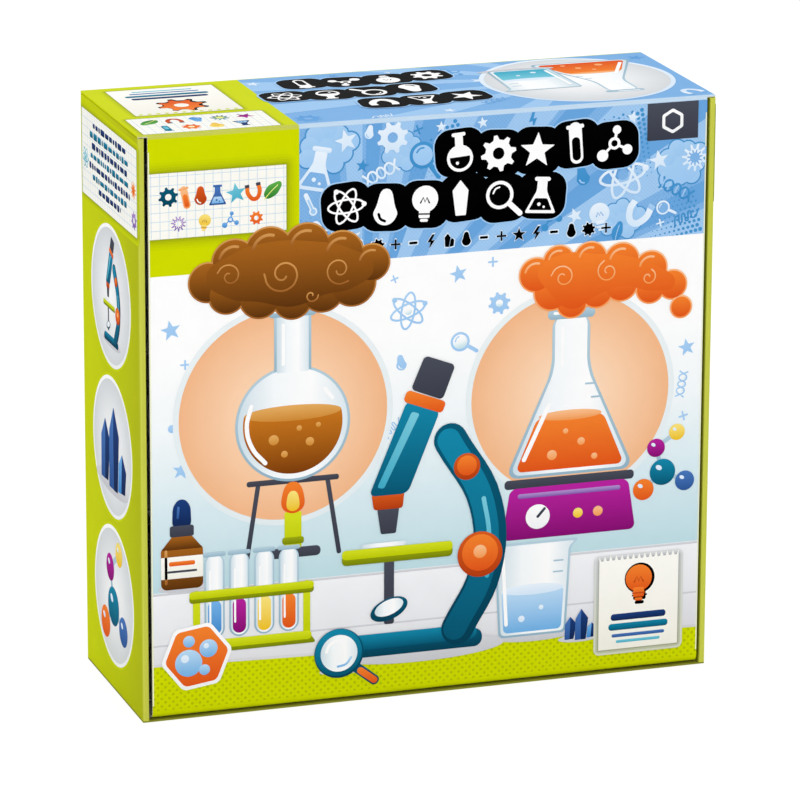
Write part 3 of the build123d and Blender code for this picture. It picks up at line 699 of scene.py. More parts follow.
def ink(name, face):
    # offset litho ink on coated liner under satin varnish: even, slightly mottled, soft gloss
    key = (name, "any" if name in inkTable else face)
    if key in inkCache:
        return inkCache[key]
    material, tree, shader, where = startMaterial(
        f"varnished litho ink, {name}",
        {"Roughness": varnish["roughness"], "IOR": 1.5, "Specular IOR Level": varnish["gloss"]},
    )
    if name in inkTable:
        ramp = addNode(tree, "ValToRGB", {"Fac": shapeShade(tree, shadeWays.get(name, "up"))})
        setStops(ramp, inkTable[name])
        colour = ramp.outputs["Color"]
    else:
        colour = patternColour(tree, name, face, where)
    setSockets(tree, shader, {"Base Color": mottled(tree, where, colour, *varnish["mottle"])})
    inkCache[key] = material
    return material


# Shapes that are printed. All in mm on the face, each a little in front of the layer below.

press = {
    "layer": 0.012,  # mm from one layer to the next
    "overlap": 0.001,  # mm from one part of a layer to the next
    "overlaps": 12,  # parts before that starts again
    "curveSteps": 6,
    "ringSides": 64,
    "capSides": 24,
    "discSides": (12, 4, 20),  # fewest, more for each mm of radius, largest radius that counts
    "arcPoints": 13,
    "cornerSteps": 6,
    "figure": 0.69,  # height of the built-in face's figures as a share of their size
}


def startPrint(name, face, body=None, slot="printed_board"):
    mesh = bmesh.new()
    mesh.loops.layers.uv.new("shade")
    return {
        "name": name, "face": face, "body": body or faces[face][3], "slot": slot,
        "mesh": mesh, "inks": [], "place": Matrix.Identity(4), "box": None, "count": 0,
    }


def moveTo(art, x=0.0, y=0.0, size=1.0, turn=0.0):
    spot = Matrix.Translation((x, y, 0))
    art["place"] = spot @ Matrix.Rotation(radians(turn), 4, "Z") @ Matrix.Scale(size, 4)


def cut(part, spot, way, clear=True):
    everything = part.verts[:] + part.edges[:] + part.faces[:]
    bmesh.ops.bisect_plane(part, geom=everything, plane_co=spot, plane_no=way, clear_outer=clear)


def lay(art, part, inkName, layer):
    shade = part.loops.layers.uv.get("shade") or part.loops.layers.uv.new("shade")
    across = [v.co.x for v in part.verts]
    up = [v.co.y for v in part.verts]
    low = (min(across), min(up))
    span = (max(max(across) - low[0], 1e-6), max(max(up) - low[1], 1e-6))
    if inkName not in art["inks"]:
        art["inks"].append(inkName)
    index = art["inks"].index(inkName)
    for face in part.faces:
        face.material_index = index
        for loop in face.loops:
            spot = loop.vert.co
            loop[shade].uv = ((spot.x - low[0]) / span[0], (spot.y - low[1]) / span[1])
    bmesh.ops.transform(part, matrix=art["place"], verts=part.verts)
    if art["box"]:
        left, bottom, right, top = art["box"]
        cut(part, (left, 0, 0), (-1, 0, 0))
        cut(part, (right, 0, 0), (1, 0, 0))
        cut(part, (0, bottom, 0), (0, -1, 0))
        cut(part, (0, top, 0), (0, 1, 0))
    # parts of one layer overlap too, so each lies a hair over the last
    art["count"] += 1
    lift = layer * press["layer"] + art["count"] % press["overlaps"] * press["overlap"]
    bmesh.ops.translate(part, vec=(0, 0, lift), verts=part.verts)
    part.normal_update()
    turned = [f for f in part.faces if f.normal.z < 0]
    if turned:
        bmesh.ops.reverse_faces(part, faces=turned)
    copy = bpy.data.meshes.new("cut")
    part.to_mesh(copy)
    part.free()
    art["mesh"].from_mesh(copy)
    bpy.data.meshes.remove(copy)


def disc(art, inkName, layer, x, y, radius, squash=1.0, turn=0.0, level=None):
    # with a level, only what lies below it, as a liquid lies in a flask
    part = bmesh.new()
    where = Matrix.Translation((x, y, 0)) @ Matrix.Rotation(radians(turn), 4, "Z")
    where = where @ Matrix.Diagonal((1, squash, 1, 1))
    fewest, more, largest = press["discSides"]
    sides = fewest + more * int(min(radius, largest))
    bmesh.ops.create_circle(part, cap_ends=True, segments=sides, radius=radius, matrix=where)
    if level is not None:
        cut(part, (0, level, 0), (0, 1, 0))
    lay(art, part, inkName, layer)


def ring(art, inkName, layer, x, y, radius, width):
    part = bmesh.new()
    where = Matrix.Translation((x, y, 0))
    for r in (radius, radius - width):
        bmesh.ops.create_circle(part, segments=press["ringSides"], radius=r, matrix=where)
    bmesh.ops.bridge_loops(part, edges=part.edges[:])
    lay(art, part, inkName, layer)


def panel(art, inkName, layer, points, corner=0.0):
    part = bmesh.new()
    part.faces.new([part.verts.new((x, y, 0)) for x, y in points])
    if corner:
        bmesh.ops.bevel(
            part, geom=part.verts[:], affect="VERTICES", offset=corner, offset_type="OFFSET",
            segments=press["cornerSteps"], profile=0.5, material=-1, clamp_overlap=True,
        )
    lay(art, part, inkName, layer)


def mirrored(art, inkName, layer, half, corner=0.0):
    # an outline whose left side repeats its right, which is listed from the foot up
    foot, *rest = half
    left = [(-x, y) for x, y in (*rest[::-1], foot)]
    panel(art, inkName, layer, [left[-1], foot, *rest, *left[:-1]], corner)


def corners(left, low, right, high):
    return [(left, low), (right, low), (right, high), (left, high)]


def slab(art, inkName, layer, x, y, width, height, corner=0.0):
    # an upright rectangle about its middle
    w, h = width / 2, height / 2
    panel(art, inkName, layer, corners(x - w, y - h, x + w, y + h), corner)


def bezier(points, flat, closed, bend):
    curve = bpy.data.curves.new("cut", "CURVE")
    curve.dimensions = "2D" if flat else "3D"
    curve.resolution_u = press["curveSteps"]
    line = curve.splines.new("BEZIER")
    line.bezier_points.add(len(points) - 1)
    line.use_cyclic_u = closed
    for knot, (x, y) in zip(line.bezier_points, points):
        knot.co = (x, y, 0)
        knot.handle_left_type = knot.handle_right_type = "AUTO" if bend else "VECTOR"
        knot.tilt = 0 if flat else pi / 2
    return curve


def asPart(curve):
    holder = bpy.data.objects.new("cut", curve)
    flatMesh = bpy.data.meshes.new_from_object(holder)
    part = bmesh.new()
    part.from_mesh(flatMesh)
    bpy.data.objects.remove(holder)
    bpy.data.meshes.remove(flatMesh)
    return part


def blob(art, inkName, layer, points):
    # a smooth closed outline
    curve = bezier(points, True, True, True)
    curve.fill_mode = "BOTH"
    lay(art, asPart(curve), inkName, layer)


def halfRound(part, spot, inward, radius):
    # the round end of a stroke, cut so that it doesn't lie on the stroke
    turn = Vector((1, 0)).angle_signed(inward)
    where = Matrix.Translation((*spot, 0)) @ Matrix.Rotation(-turn, 4, "Z")
    verts = bmesh.ops.create_circle(
        part, cap_ends=True, segments=press["capSides"], radius=radius, matrix=where
    )["verts"]
    edges = {e for v in verts for e in v.link_edges}
    bmesh.ops.bisect_plane(
        part, geom=verts + list(edges) + verts[0].link_faces[:], plane_co=(*spot, 0),
        plane_no=(*inward, 0), clear_outer=True,
    )


def stroke(art, inkName, layer, points, width, bend=True, closed=False, caps=True):
    curve = bezier(points, False, closed, bend)
    curve.twist_mode = "Z_UP"
    curve.extrude = width / 2
    part = asPart(curve)
    if caps and not closed:
        for end, beside in ((points[0], points[1]), (points[-1], points[-2])):
            halfRound(part, Vector(end), Vector(beside) - Vector(end), width / 2)
    lay(art, part, inkName, layer)


def numeral(art, inkName, layer, body, x, y, height, bold=0.015):
    curve = bpy.data.curves.new("cut", "FONT")
    curve.body = body
    curve.offset = bold
    curve.size = height / press["figure"]
    curve.align_x = "CENTER"
    curve.resolution_u = press["curveSteps"]
    part = asPart(curve)
    bmesh.ops.translate(part, vec=(x, y - height / 2, 0), verts=part.verts)
    lay(art, part, inkName, layer)


def arc(x, y, radius, start, end, count=7, squash=1.0):
    steps = [radians(start + (end - start) * i / (count - 1)) for i in range(count)]
    return [(x + radius * cos(a), y + radius * squash * sin(a)) for a in steps]


def fan(art, inkName, layer, x, y, inner, outer, start, end):
    outside = arc(x, y, outer, start, end, press["arcPoints"])
    panel(art, inkName, layer, outside + arc(x, y, inner, end, start, press["arcPoints"]))


def finishPrint(art):
    mesh = bpy.data.meshes.new(art["name"])
    where = Matrix.Scale(mm, 4)
    if art["face"]:
        right, up, origin = (Vector(v) for v in faces[art["face"]][:3])
        axes = Matrix((right, up, right.cross(up))).transposed().to_4x4()
        where = Matrix.Translation(origin) @ axes @ where
    bmesh.ops.transform(art["mesh"], matrix=where, verts=art["mesh"].verts)
    art["mesh"].to_mesh(mesh)
    art["mesh"].free()
    for name in art["inks"]:
        mesh.materials.append(ink(name, art["face"]))
    sheet = addObject(art["name"], mesh)
    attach(sheet, art["body"])


# Drawings. A row is a shape, its ink, its layer, then the shape's own numbers for each copy of it.
# "line" and "fill" are inks that the caller picks. Icons are about 10 mm high, pictures full size.

icons = {
    "coneFlask": (
        ("mirrored", "line", 0, (((4.4, -4.8), (1.4, 1.2), (1.4, 4.2)), 0.7)),
        ("slab", "line", 0, (0, 4.4, 4.4, 1.1, 0.5)),
        ("mirrored", "fill", 1, (((3.2, -4), (1.7, -0.8)), 0.4)),
        ("disc", "line", 2, (-0.5, -2.4, 0.5), (0.9, -3.1, 0.35)),
    ),
    "roundFlask": (
        ("disc", "line", 0, (0, -1.6, 3.6)),
        ("slab", "line", 0, (0, 3, 2.2, 4, 0.3), (0, 4.8, 3.8, 1, 0.45)),
        ("disc", "fill", 1, (0, -1.6, 2.8, 1, 0, -1.2)),
        ("disc", "line", 2, (-0.8, -2.8, 0.45)),
    ),
    "tube": (
        ("stroke", "line", 0, (((0, -3.6), (0, 4)), 3.6, False)),
        ("slab", "line", 0, (0, 4.6, 5, 1.1, 0.5)),
        ("stroke", "fill", 1, (((0, -3.4), (0, 0.6)), 2.3, False)),
    ),
    "beaker": (
        ("panel", "line", 0, (((-3.4, -4.6), (3.4, -4.6), (3.8, 4.2), (5, 5), (-3.8, 5)), 0.5)),
        ("mirrored", "fill", 1, (((2.6, -3.8), (2.9, 0.6)), 0.4)),
    ),
    "drop": (
        ("blob", "line", 0, (((0, 5), (2.6, 0.2), (3.2, -2.2), (0, -4.8), (-3.2, -2.2), (-2.6, 0.2)),)),
        ("stroke", "fill", 1, (((-1.8, -1.8), (-1.2, -3.1), (0, -3.7)), 0.7)),
    ),
    "star": (
        ("panel", "line", 0,
            (((0, 5), (1.3, 1.6), (4.8, 1.5), (2, -0.6), (3, -4.1), (0, -2.1), (-3, -4.1), (-2, -0.6),
            (-4.8, 1.5), (-1.3, 1.6)), 0.3),
        ),
    ),
    "atom": (
        ("orbit", "line", 0, (4.9, 0.36, 0, 0.55), (4.9, 0.36, 60, 0.55), (4.9, 0.36, 120, 0.55)),
        ("disc", "fill", 1, (0, 0, 1.1)),
        ("disc", "line", 1, (4.9, 0, 0.7), (-2.4, 4.2, 0.7)),
    ),
    "lens": (
        ("ring", "line", 0, (-0.8, 1, 3.8, 1.1)),
        ("disc", "fill", 0, (-0.8, 1, 2.9)),
        ("stroke", "line", 0, (((2, -1.8), (4.6, -4.5)), 1.5, False)),
        ("stroke", "line", 1, (((-2.6, 1.6), (-1.9, 2.7), (-0.8, 3.1)), 0.45)),
    ),
    "molecule": (
        ("stroke", "line", 0,
            (((-3.4, -2.6), (0, 0.4), (3.6, -1.6)), 0.8, False), (((0, 0.4), (0.8, 4)), 0.8, False),
        ),
        ("disc", "line", 1, (0, 0.4, 1.7)),
        ("disc", "fill", 2, (0, 0.4, 0.9)),
        ("disc", "line", 1, (-3.4, -2.6, 1.6), (3.6, -1.6, 1.4), (0.8, 4, 1.2)),
    ),
    "bulb": (
        ("disc", "line", 0, (0, 1.4, 3.6)),
        ("slab", "line", 0, (0, -2.4, 3, 2.6, 0.4)),
        ("slab", "fill", 1, (0, -2.6, 3.6, 0.4)),
        ("slab", "line", 0, (0, -4.3, 2.2, 0.8, 0.4)),
        ("stroke", "fill", 1, (((-1.2, 0.4), (-0.5, 1.8), (0, 0.6), (0.5, 1.8), (1.2, 0.4)), 0.4, False)),
    ),
    "gear": (
        ("teeth", "line", 0, (8, 4.9, 3.7)),
        ("disc", "fill", 1, (0, 0, 1.6)),
    ),
    "crystal": (
        ("panel", "line", 0, (((-2.6, -4.6), (0.2, -4.8), (1.4, 1.8), (-0.6, 4.8), (-3, 2.2)), 0.2)),
        ("panel", "fill", 1, (((0.6, -4.8), (3.6, -4.2), (4, 0), (2.4, 1.4), (1.4, 0.2)), 0.2)),
    ),
    "magnet": (
        ("stroke", "line", 0,
            (((-3, 4), (-3, -0.6), (0, -3.6), (3, -0.6), (3, 4)), 2.2, True, False, False),
        ),
        ("slab", "fill", 1, (-3, 3.8, 2.4, 1.6), (3, 3.8, 2.4, 1.6)),
    ),
    "thermometer": (
        ("stroke", "line", 0, (((0, -3), (0, 4.2)), 2, False)),
        ("disc", "line", 0, (0, -3.4, 1.8)),
        ("disc", "fill", 1, (0, -3.4, 1.1)),
        ("stroke", "fill", 1, (((0, -3), (0, 1.8)), 0.8, False)),
    ),
    "leaf": (
        ("blob", "line", 0, (((-4.2, -3.8), (-3.4, 1.6), (0.6, 4), (4.6, 4.4), (3.8, 0), (0.4, -3.4)),)),
        ("stroke", "fill", 1, (((-4.6, -4.6), (-1.2, -0.8), (2.8, 2.8)), 0.5)),
    ),
    "burst": (
        ("teeth", "line", 0, (11, 4.9, 3.1)),
        ("teeth", "fill", 1, (11, 2.9, 1.8)),
    ),
    "helix": (
        ("stroke", "line", 0,
            (((-5, 1.6), (-2.5, -1.6), (0, 1.6), (2.5, -1.6), (5, 1.6)), 0.6),
            (((-5, -1.6), (-2.5, 1.6), (0, -1.6), (2.5, 1.6), (5, -1.6)), 0.6),
        ),
        ("stroke", "fill", 0,
            (((-4.4, -1), (-4.4, 1)), 0.4, False), (((-2.5, -1.2), (-2.5, 1.2)), 0.4, False),
            (((0, -1.2), (0, 1.2)), 0.4, False), (((2.5, -1.2), (2.5, 1.2)), 0.4, False),
        ),
    ),
    "spring": (
        ("stroke", "line", 0,
            (((-5, -2), (-3.4, 1.8), (-2.6, -1), (-1.2, 2.2), (-0.2, -0.8), (1.2, 2.6), (2.2, -0.2),
            (4.8, 2.4)), 0.6),
        ),
    ),
    "bolt": (
        ("panel", "line", 0,
            (((0.8, 5), (-2.8, -0.4), (-0.4, -0.4), (-1.4, -5), (2.8, 0.8), (0.4, 0.8), (2.6, 5)), 0.15),
        ),
    ),
    "cross": (
        ("stroke", "line", 0, (((-3, 0), (3, 0)), 1.3, False), (((0, -3), (0, 3)), 1.3, False)),
    ),
    "puff": (
        ("puff", "dotBlue", 0, (0.25,)),
        ("puff", "ray", 1, (0.0,)),
    ),
}

pictures = {
    "roundFlask": (
        ("disc", "glassEdge", 0, (0, 0, 27)),
        ("slab", "glassEdge", 0, (0, 38, 17.4, 30, 0.4)),
        ("disc", "glass", 1, (0, 0, 25.8)),
        ("slab", "glass", 1, (0, 38.2, 15, 28.4, 0.2)),
        ("slab", "glassEdge", 2, (0, 52, 23, 4.6, 2.2)),
        ("slab", "shine", 3, (-2, 52.6, 14, 1.4, 0.6)),
        ("disc", "amber", 2, (0, 0, 23.4, 1, 0, 5)),
        ("disc", "amberTop", 3,
            (0, 5, 22.8, 0.16), (-9, -7, 2.4), (-4, -14, 1.6), (8, -9, 2), (3, -2.4, 1.3), (12, -1.5, 1.2),
        ),
        ("stroke", "shine", 4,
            (((-19.5, 9.5), (-21.6, 0), (-19, -10), (-13, -17.4)), 2),
            (((-4.4, 28), (-4.4, 46)), 1.6, False), (((15.2, 15), (18.6, 10.6)), 1.8, False),
        ),
    ),
    "coneFlask": (
        ("mirrored", "glassEdge", 0, (((29, 0), (8.4, 46), (8.4, 70)), 6)),
        ("mirrored", "glass", 1, (((27, 1.2), (7.2, 46), (7.2, 70)), 5)),
        ("slab", "glassEdge", 2, (0, 70, 21, 4.2, 2)),
        ("slab", "shine", 3, (-2, 70.6, 12, 1.2, 0.5)),
        ("mirrored", "orange", 2, (((24.4, 2.6), (14.6, 26)), 3.4)),
        ("disc", "orangeLight", 3,
            (0, 26, 14, 0.16), (-8, 9, 2.2), (5, 14, 1.7), (11, 7, 1.4), (-2, 19, 1.2),
        ),
        ("stroke", "shine", 4,
            (((-20.5, 8), (-9.6, 31)), 1.9, False), (((-3.8, 48), (-3.8, 64)), 1.4, False),
        ),
        ("stroke", "glassEdge", 4,
            (((9.5, 33), (13, 33)), 0.8, False), (((6.8, 39), (10.2, 39)), 0.8, False),
        ),
    ),
    "burner": (
        ("slab", "slate", 0, (0, 2.2, 24, 4.4, 2)),
        ("slab", "lime", 1, (0, 12, 7.4, 16, 1)),
        ("slab", "limeDeep", 2, (0, 7.4, 9.4, 3, 1)),
        ("stroke", "slate", 0, (((-20, 0.8), (-15, 33)), 2, False), (((20, 0.8), (15, 33)), 2, False)),
        ("slab", "slate", 1, (0, 33.4, 40, 2.4, 1)),
        ("blob", "orange", 1, (((0, 33), (5, 25.5), (3.4, 20.4), (-3.4, 20.4), (-5, 25.5)),)),
        ("blob", "yellow", 2, (((0, 29), (2.8, 24), (1.8, 20.8), (-1.8, 20.8), (-2.8, 24)),)),
    ),
    "hotPlate": (
        ("slab", "slate", 0, (0, 24.4, 58, 4, 1.6)),
        ("mirrored", "magenta", 0, (((30, 0), (26.5, 22.6)), 3)),
        ("slab", "violet", 1, (0, 19, 46, 2, 0.9)),
        ("disc", "white", 1, (-14, 9.5, 5.4)),
        ("stroke", "slate", 2, (((-14, 9.5), (-11, 12.8)), 1.2, False)),
        ("disc", "yellow", 1, (4, 9.5, 2.2)),
        ("disc", "orangeLight", 1, (13, 9.5, 2.2)),
    ),
    "microscope": (
        ("disc", "benchEdge", 0, (2, 1.6, 31, 0.14)),
        ("slab", "tealDeep", 1, (0, 4, 50, 6.6, 3)),
        ("slab", "teal", 2, (0, 6.2, 46, 5.4, 2.6)),
        ("stroke", "tealDeep", 2, (((16, 8), (26, 28), (26, 52), (13, 76)), 12)),
        ("stroke", "teal", 3, (((15, 8), (25, 28), (25, 52), (12.4, 76)), 8.4)),
        ("stroke", "tealLight", 4, (((26.6, 26), (27.2, 42), (25.2, 54)), 1.6)),
        ("slab", "limeDeep", 3, (-6, 36.4, 40, 4, 1.6)),
        ("slab", "lime", 4, (-6, 38.2, 40, 3.4, 1.4)),
        ("slab", "glass", 5, (-11, 40.8, 16, 1.6, 0.5)),
        ("slab", "slate", 2, (-9, 24, 3.6, 24, 0.8)),
        ("disc", "tealDeep", 2, (-9, 17.4, 7, 0.55, 20)),
        ("disc", "glass", 3, (-9, 18, 5.4, 0.5, 20)),
        ("panel", "slate", 3, (((-12, 44.6), (-6.6, 44.6), (-5.4, 54), (-13.4, 54)), 0.6)),
        ("panel", "orangeDeep", 4, (((-14.6, 53.4), (-4.2, 53.4), (-3.6, 59), (-15.4, 59)), 1)),
        ("panel", "teal", 4, (((-16.4, 58.4), (-2.4, 58.4), (9.2, 87), (-2.6, 91.6)), 2.4)),
        ("panel", "tealLight", 5, (((-13.4, 61.4), (-11, 60.8), (1.8, 86.4), (-1, 87.4)), 0.8)),
        ("panel", "orange", 5, (((-4.2, 91.2), (9.8, 85.8), (11.4, 89.8), (-2.6, 95.2)), 1.4)),
        ("panel", "slate", 4, (((-1.4, 95.2), (10, 90.6), (14.6, 102.6), (3.6, 106.8)), 1.6)),
        ("disc", "orangeDeep", 5, (24, 34, 8.2)),
        ("disc", "orange", 6, (24, 34.6, 6.6)),
        ("disc", "orangeLight", 7, (24, 35, 2.4)),
        ("disc", "orangeDeep", 5, (19, 66, 4.8)),
        ("disc", "orange", 6, (19, 66.4, 3.6)),
    ),
    "tubeRack": (
        ("mirrored", "limeDeep", 0, (((27, 0), (24, 4.4)), 1.4)),
        ("slab", "lime", 1, (0, 3.4, 50, 3.6, 1.6)),
        ("stroke", "lime", 0, (((-23, 3), (-23, 25)), 3, False), (((23, 3), (23, 25)), 3, False)),
        ("rackTube", "waterDeep", 2, (-15.5,)),
        ("rackTube", "magenta", 2, (-5.2,)),
        ("rackTube", "yellow", 2, (5.2,)),
        ("rackTube", "orange", 2, (15.5,)),
        ("slab", "limeDeep", 7, (0, 23, 52, 3.4, 1.4)),
        ("slab", "lime", 8, (0, 24.6, 52, 3.2, 1.4)),
    ),
    "beaker": (
        ("disc", "benchEdge", 0, (1, 0.4, 19, 0.16)),
        ("panel", "glassEdge", 1, (((-15.4, 0), (15.4, 0), (17.4, 39), (21.6, 42.4), (-17.6, 42.4)), 2.2)),
        ("panel", "glass", 2, (((-14.4, 1), (14.4, 1), (16.4, 39), (19.6, 41.4), (-16.6, 41.4)), 1.8)),
        ("mirrored", "fill", 3, (((13.2, 2), (14.3, 21)), 2)),
        ("disc", "line", 4, (0, 21, 14.2, 0.17), (-5, 8, 1.5), (4, 12.5, 1.1)),
        ("stroke", "glassEdge", 4,
            (((9.6, 28), (13.6, 28)), 0.7, False), (((9.8, 33), (13.8, 33)), 0.7, False),
        ),
        ("stroke", "shine", 5, (((-12, 6), (-13.6, 36)), 1.6, False)),
    ),
    "lens": (
        ("disc", "benchEdge", 0, (2, -9, 12, 0.16)),
        ("stroke", "tealDeep", 1, (((7.4, -7), (18, -15.4)), 5, False)),
        ("stroke", "orange", 2, (((11, -10), (18, -15.4)), 3.4, False)),
        ("disc", "tealDeep", 1, (0, 0, 12.6)),
        ("disc", "teal", 2, (-0.3, 0.4, 12)),
        ("disc", "glass", 3, (0, 0, 9.4)),
        ("stroke", "shine", 4, (((-6.4, 1.2), (-4.6, 4.8), (-1, 6.6)), 1.5)),
        ("stroke", "water", 4, (((6.2, -2.6), (3.6, -5.8), (-0.6, -6.8)), 1.1)),
    ),
    "crystals": (
        ("disc", "benchEdge", 0, (0, 0.4, 14, 0.18)),
        ("panel", "navy", 1, (((-9.6, 0), (-3.4, 0.2), (-1.6, 10.6), (-5.8, 15.4), (-9.4, 10.4)), 0.4)),
        ("panel", "navyLight", 2,
            (((-9.6, 0), (-6.2, 0), (-5.8, 10), (-5.8, 15.4), (-9.4, 10.4)), 0.3),
            (((-2.6, -0.8), (5, -0.6), (6.4, 13.6), (1.8, 20), (-2.2, 13.4)), 0.4),
        ),
        ("panel", "navy", 3, (((1.6, -0.8), (5, -0.6), (6.4, 13.6), (1.8, 20), (1.4, 12.6)), 0.3)),
        ("panel", "navy", 2, (((5.4, 0), (11.4, 0.6), (12.6, 6.4), (9, 10.2), (6, 7.2)), 0.3)),
        ("panel", "waterDeep", 3, (((5.4, 0), (8.2, 0.2), (8.6, 6), (9, 10.2), (6, 7.2)), 0.3)),
    ),
    "balls": (
        ("stroke", "glassEdge", 1,
            (((-11, -9), (0, 0), (13, -6)), 2.6, False), (((0, 0), (-4, 14), (8, 22)), 2.6, False),
        ),
        ("ball", "teal", 3, (0, 0, 7.4)),
        ("ball", "orange", 3, (-11, -9, 6)),
        ("ball", "navyLight", 3, (13, -6, 5.6)),
        ("ball", "magenta", 3, (-4, 14, 5.2)),
        ("ball", "yellow", 3, (8, 22, 4.6)),
    ),
    "dropper": (
        ("disc", "benchEdge", 0, (1, 0.6, 13, 0.18)),
        ("slab", "brown", 1, (0, 11, 21, 22, 3)),
        ("mirrored", "brown", 1, (((10.4, 20), (4.6, 27)), 1)),
        ("slab", "paper", 2, (0, 11, 21, 11, 0.4)),
        ("slab", "orange", 3, (0, 13, 13, 2.2, 0.8)),
        ("slab", "slate", 3, (0, 9, 15, 1.1, 0.5)),
        ("slab", "slate", 2, (0, 29.2, 12, 5.6, 1.2)),
        ("blob", "navy", 1,
            (((-3.4, 31), (-4.6, 37), (-3, 43.4), (0, 45), (3, 43.4), (4.6, 37), (3.4, 31)),),
        ),
        ("stroke", "navyLight", 2, (((-2, 36), (-1.6, 41)), 1.2, False)),
        ("stroke", "brownLight", 1.5, (((-8, 3.4), (-8, 19.6)), 1.4, False)),
    ),
    "emblem": (
        ("hexagon", "white", 0, (16, 8)),
        ("hexagon", "orange", 1, (14.2, 8)),
        ("disc", "water", 2, (-3.6, -2.6, 6)),
        ("disc", "chalk", 3, (-5.2, -0.6, 1.8)),
        ("disc", "water", 2, (5.2, 3.2, 4)),
        ("disc", "chalk", 3, (4.2, 4.4, 1.2)),
        ("disc", "water", 2, (3.4, -6.2, 2.4), (-3.4, 7, 2.6)),
    ),
}


def orbit(art, inkName, layer, radius, squash, turn, width):
    path = [Matrix.Rotation(radians(turn), 2) @ Vector(p) for p in arc(0, 0, radius, 0, 330, 12, squash)]
    stroke(art, inkName, layer, [tuple(p) for p in path], width, True, True)


def teeth(art, inkName, layer, count, outer, inner):
    points = []
    for i in range(count):
        for share, radius in ((0.0, inner), (0.18, outer), (0.42, outer), (0.6, inner)):
            angle = tau * (i + share) / count
            points.append((radius * cos(angle), radius * sin(angle)))
    panel(art, inkName, layer, points)


def hexagon(art, inkName, layer, radius, turn=0.0):
    points = [(radius * cos(radians(a + turn)), radius * sin(radians(a + turn))) for a in range(0, 360, 60)]
    panel(art, inkName, layer, points, radius * 0.12)


def ball(art, inkName, layer, x, y, radius):
    disc(art, inkName, layer, x, y, radius)
    disc(art, "chalk", layer + 1, x - radius * 0.3, y + radius * 0.36, radius * 0.26, 0.7, -30)


def rackTube(art, inkName, layer, x):
    stroke(art, "glassEdge", layer, ((x, 10), (x, 37)), 8.4, False)
    stroke(art, "glass", layer + 1, ((x, 10), (x, 37.4)), 7.0, False)
    stroke(art, inkName, layer + 2, ((x, 10), (x, 19)), 5.6, False)
    slab(art, "glassEdge", layer + 2, x, 41, 9.4, 1.8, 0.8)
    stroke(art, "shine", layer + 3, ((x - 1.8, 12), (x - 1.8, 34)), 0.8, False)


def puff(art, inkName, layer, grow):
    # a small round cloud, its bumps a little uneven
    disc(art, inkName, layer, 0, 0, 3.6)
    for k in range(9):
        reach, way = 3.3 + 0.5 * cos(2.6 * k), radians(40 * k)
        disc(art, inkName, layer, reach * cos(way), 0.8 * reach * sin(way), 1.5 + grow)


shapes = {
    "disc": disc, "ring": ring, "panel": panel, "mirrored": mirrored, "slab": slab, "blob": blob,
    "stroke": stroke, "ball": ball, "orbit": orbit, "teeth": teeth, "hexagon": hexagon,
    "rackTube": rackTube, "puff": puff,
}


def draw(art, rows, layer, x, y, size=1.0, turn=0.0, **inks):
    moveTo(art, x, y, size, turn)
    for shape, inkName, level, *copies in rows:
        for numbers in copies:
            shapes[shape](art, inks.get(inkName, inkName), layer + level, *numbers)
    moveTo(art)


def printPicture(name, face, picture, layer, x, y, size=1.0, turn=0.0, **inks):
    art = startPrint(name, face)
    draw(art, pictures[picture], layer, x, y, size, turn, **inks)
    finishPrint(art)


def printDiscs(name, face, x, y, *discs):
    art = startPrint(name, face)
    for inkName, layer, radius in discs:
        disc(art, inkName, layer, x, y, radius)
    finishPrint(art)


def bars(art, layer, x, rows):
    # plain rounded bars, where a sheet would carry lines of print
    for y, width, height, inkName in rows:
        slab(art, inkName, layer, x, y, width, height, height * 0.45)


def swirl(x, y, start, turns, inner, outer, count=14):
    points = []
    for i in range(count):
        share = i / (count - 1)
        angle = radians(start) + tau * turns * share
        radius = inner + (outer - inner) * share
        points.append((x + radius * cos(angle), y + radius * sin(angle)))
    return points


def vapour(name, layer, deep, light, lobes, body, curls):
    # a cloud: round lobes at its rim, one smooth body over them, lit tops and curling strokes
    art = startPrint(name, "front")
    for grow, inkName, level in ((0.7, light, layer), (0.0, deep, layer + 1)):
        for x, y, radius in lobes:
            disc(art, inkName, level, x, y, radius + grow)
    blob(art, deep, layer + 2, body)
    middle = sum(y for _, y, _ in lobes) / len(lobes)
    for x, y, radius in lobes:
        if y > middle:
            stroke(art, light, layer + 3, arc(x, y, radius * 0.7, 75, 165), max(radius * 0.13, 0.6))
    for x, y, start, turns, outer in curls:
        stroke(art, light, layer + 4, swirl(x, y, start, turns, outer * 0.2, outer), max(outer * 0.1, 0.6))
    finishPrint(art)


dots = {"pitch": 2.1, "largest": 0.42, "smallest": 0.06, "fade": 0.75}


def halftone(art, inkName, layer, x, y, columns, rows, turn):
    # dots that shrink away from the patch's first corner
    pitch = dots["pitch"]
    moveTo(art, x, y, 1, turn)
    for i in range(columns):
        for j in range(rows):
            radius = pitch * dots["largest"] * (1 - i / columns) * (1 - dots["fade"] * j / rows)
            if radius > pitch * dots["smallest"]:
                disc(art, inkName, layer, i * pitch, (j + i % 2 / 2) * pitch, radius)
    moveTo(art)


def wedges(art, inkName, layer, x, y, angles):
    # light rays out of one point
    reach = 400
    for start, end in angles:
        far = [(x + reach * cos(radians(a)), y + reach * sin(radians(a))) for a in (start, end)]
        panel(art, inkName, layer, [(x, y)] + far)


def shadow(art, layer, points, inks, reach, corner=0.4):
    # a printed soft shadow: the outline a few times over, each smaller and darker than the last
    left, low = points[0]
    right, high = points[2]
    for i, inkName in enumerate(inks):
        grow = reach * (1 - i / len(inks)) ** 1.3
        outline = corners(left - grow, low - grow, right + grow, high + grow)
        panel(art, inkName, layer + i * 0.5, outline, corner + grow)


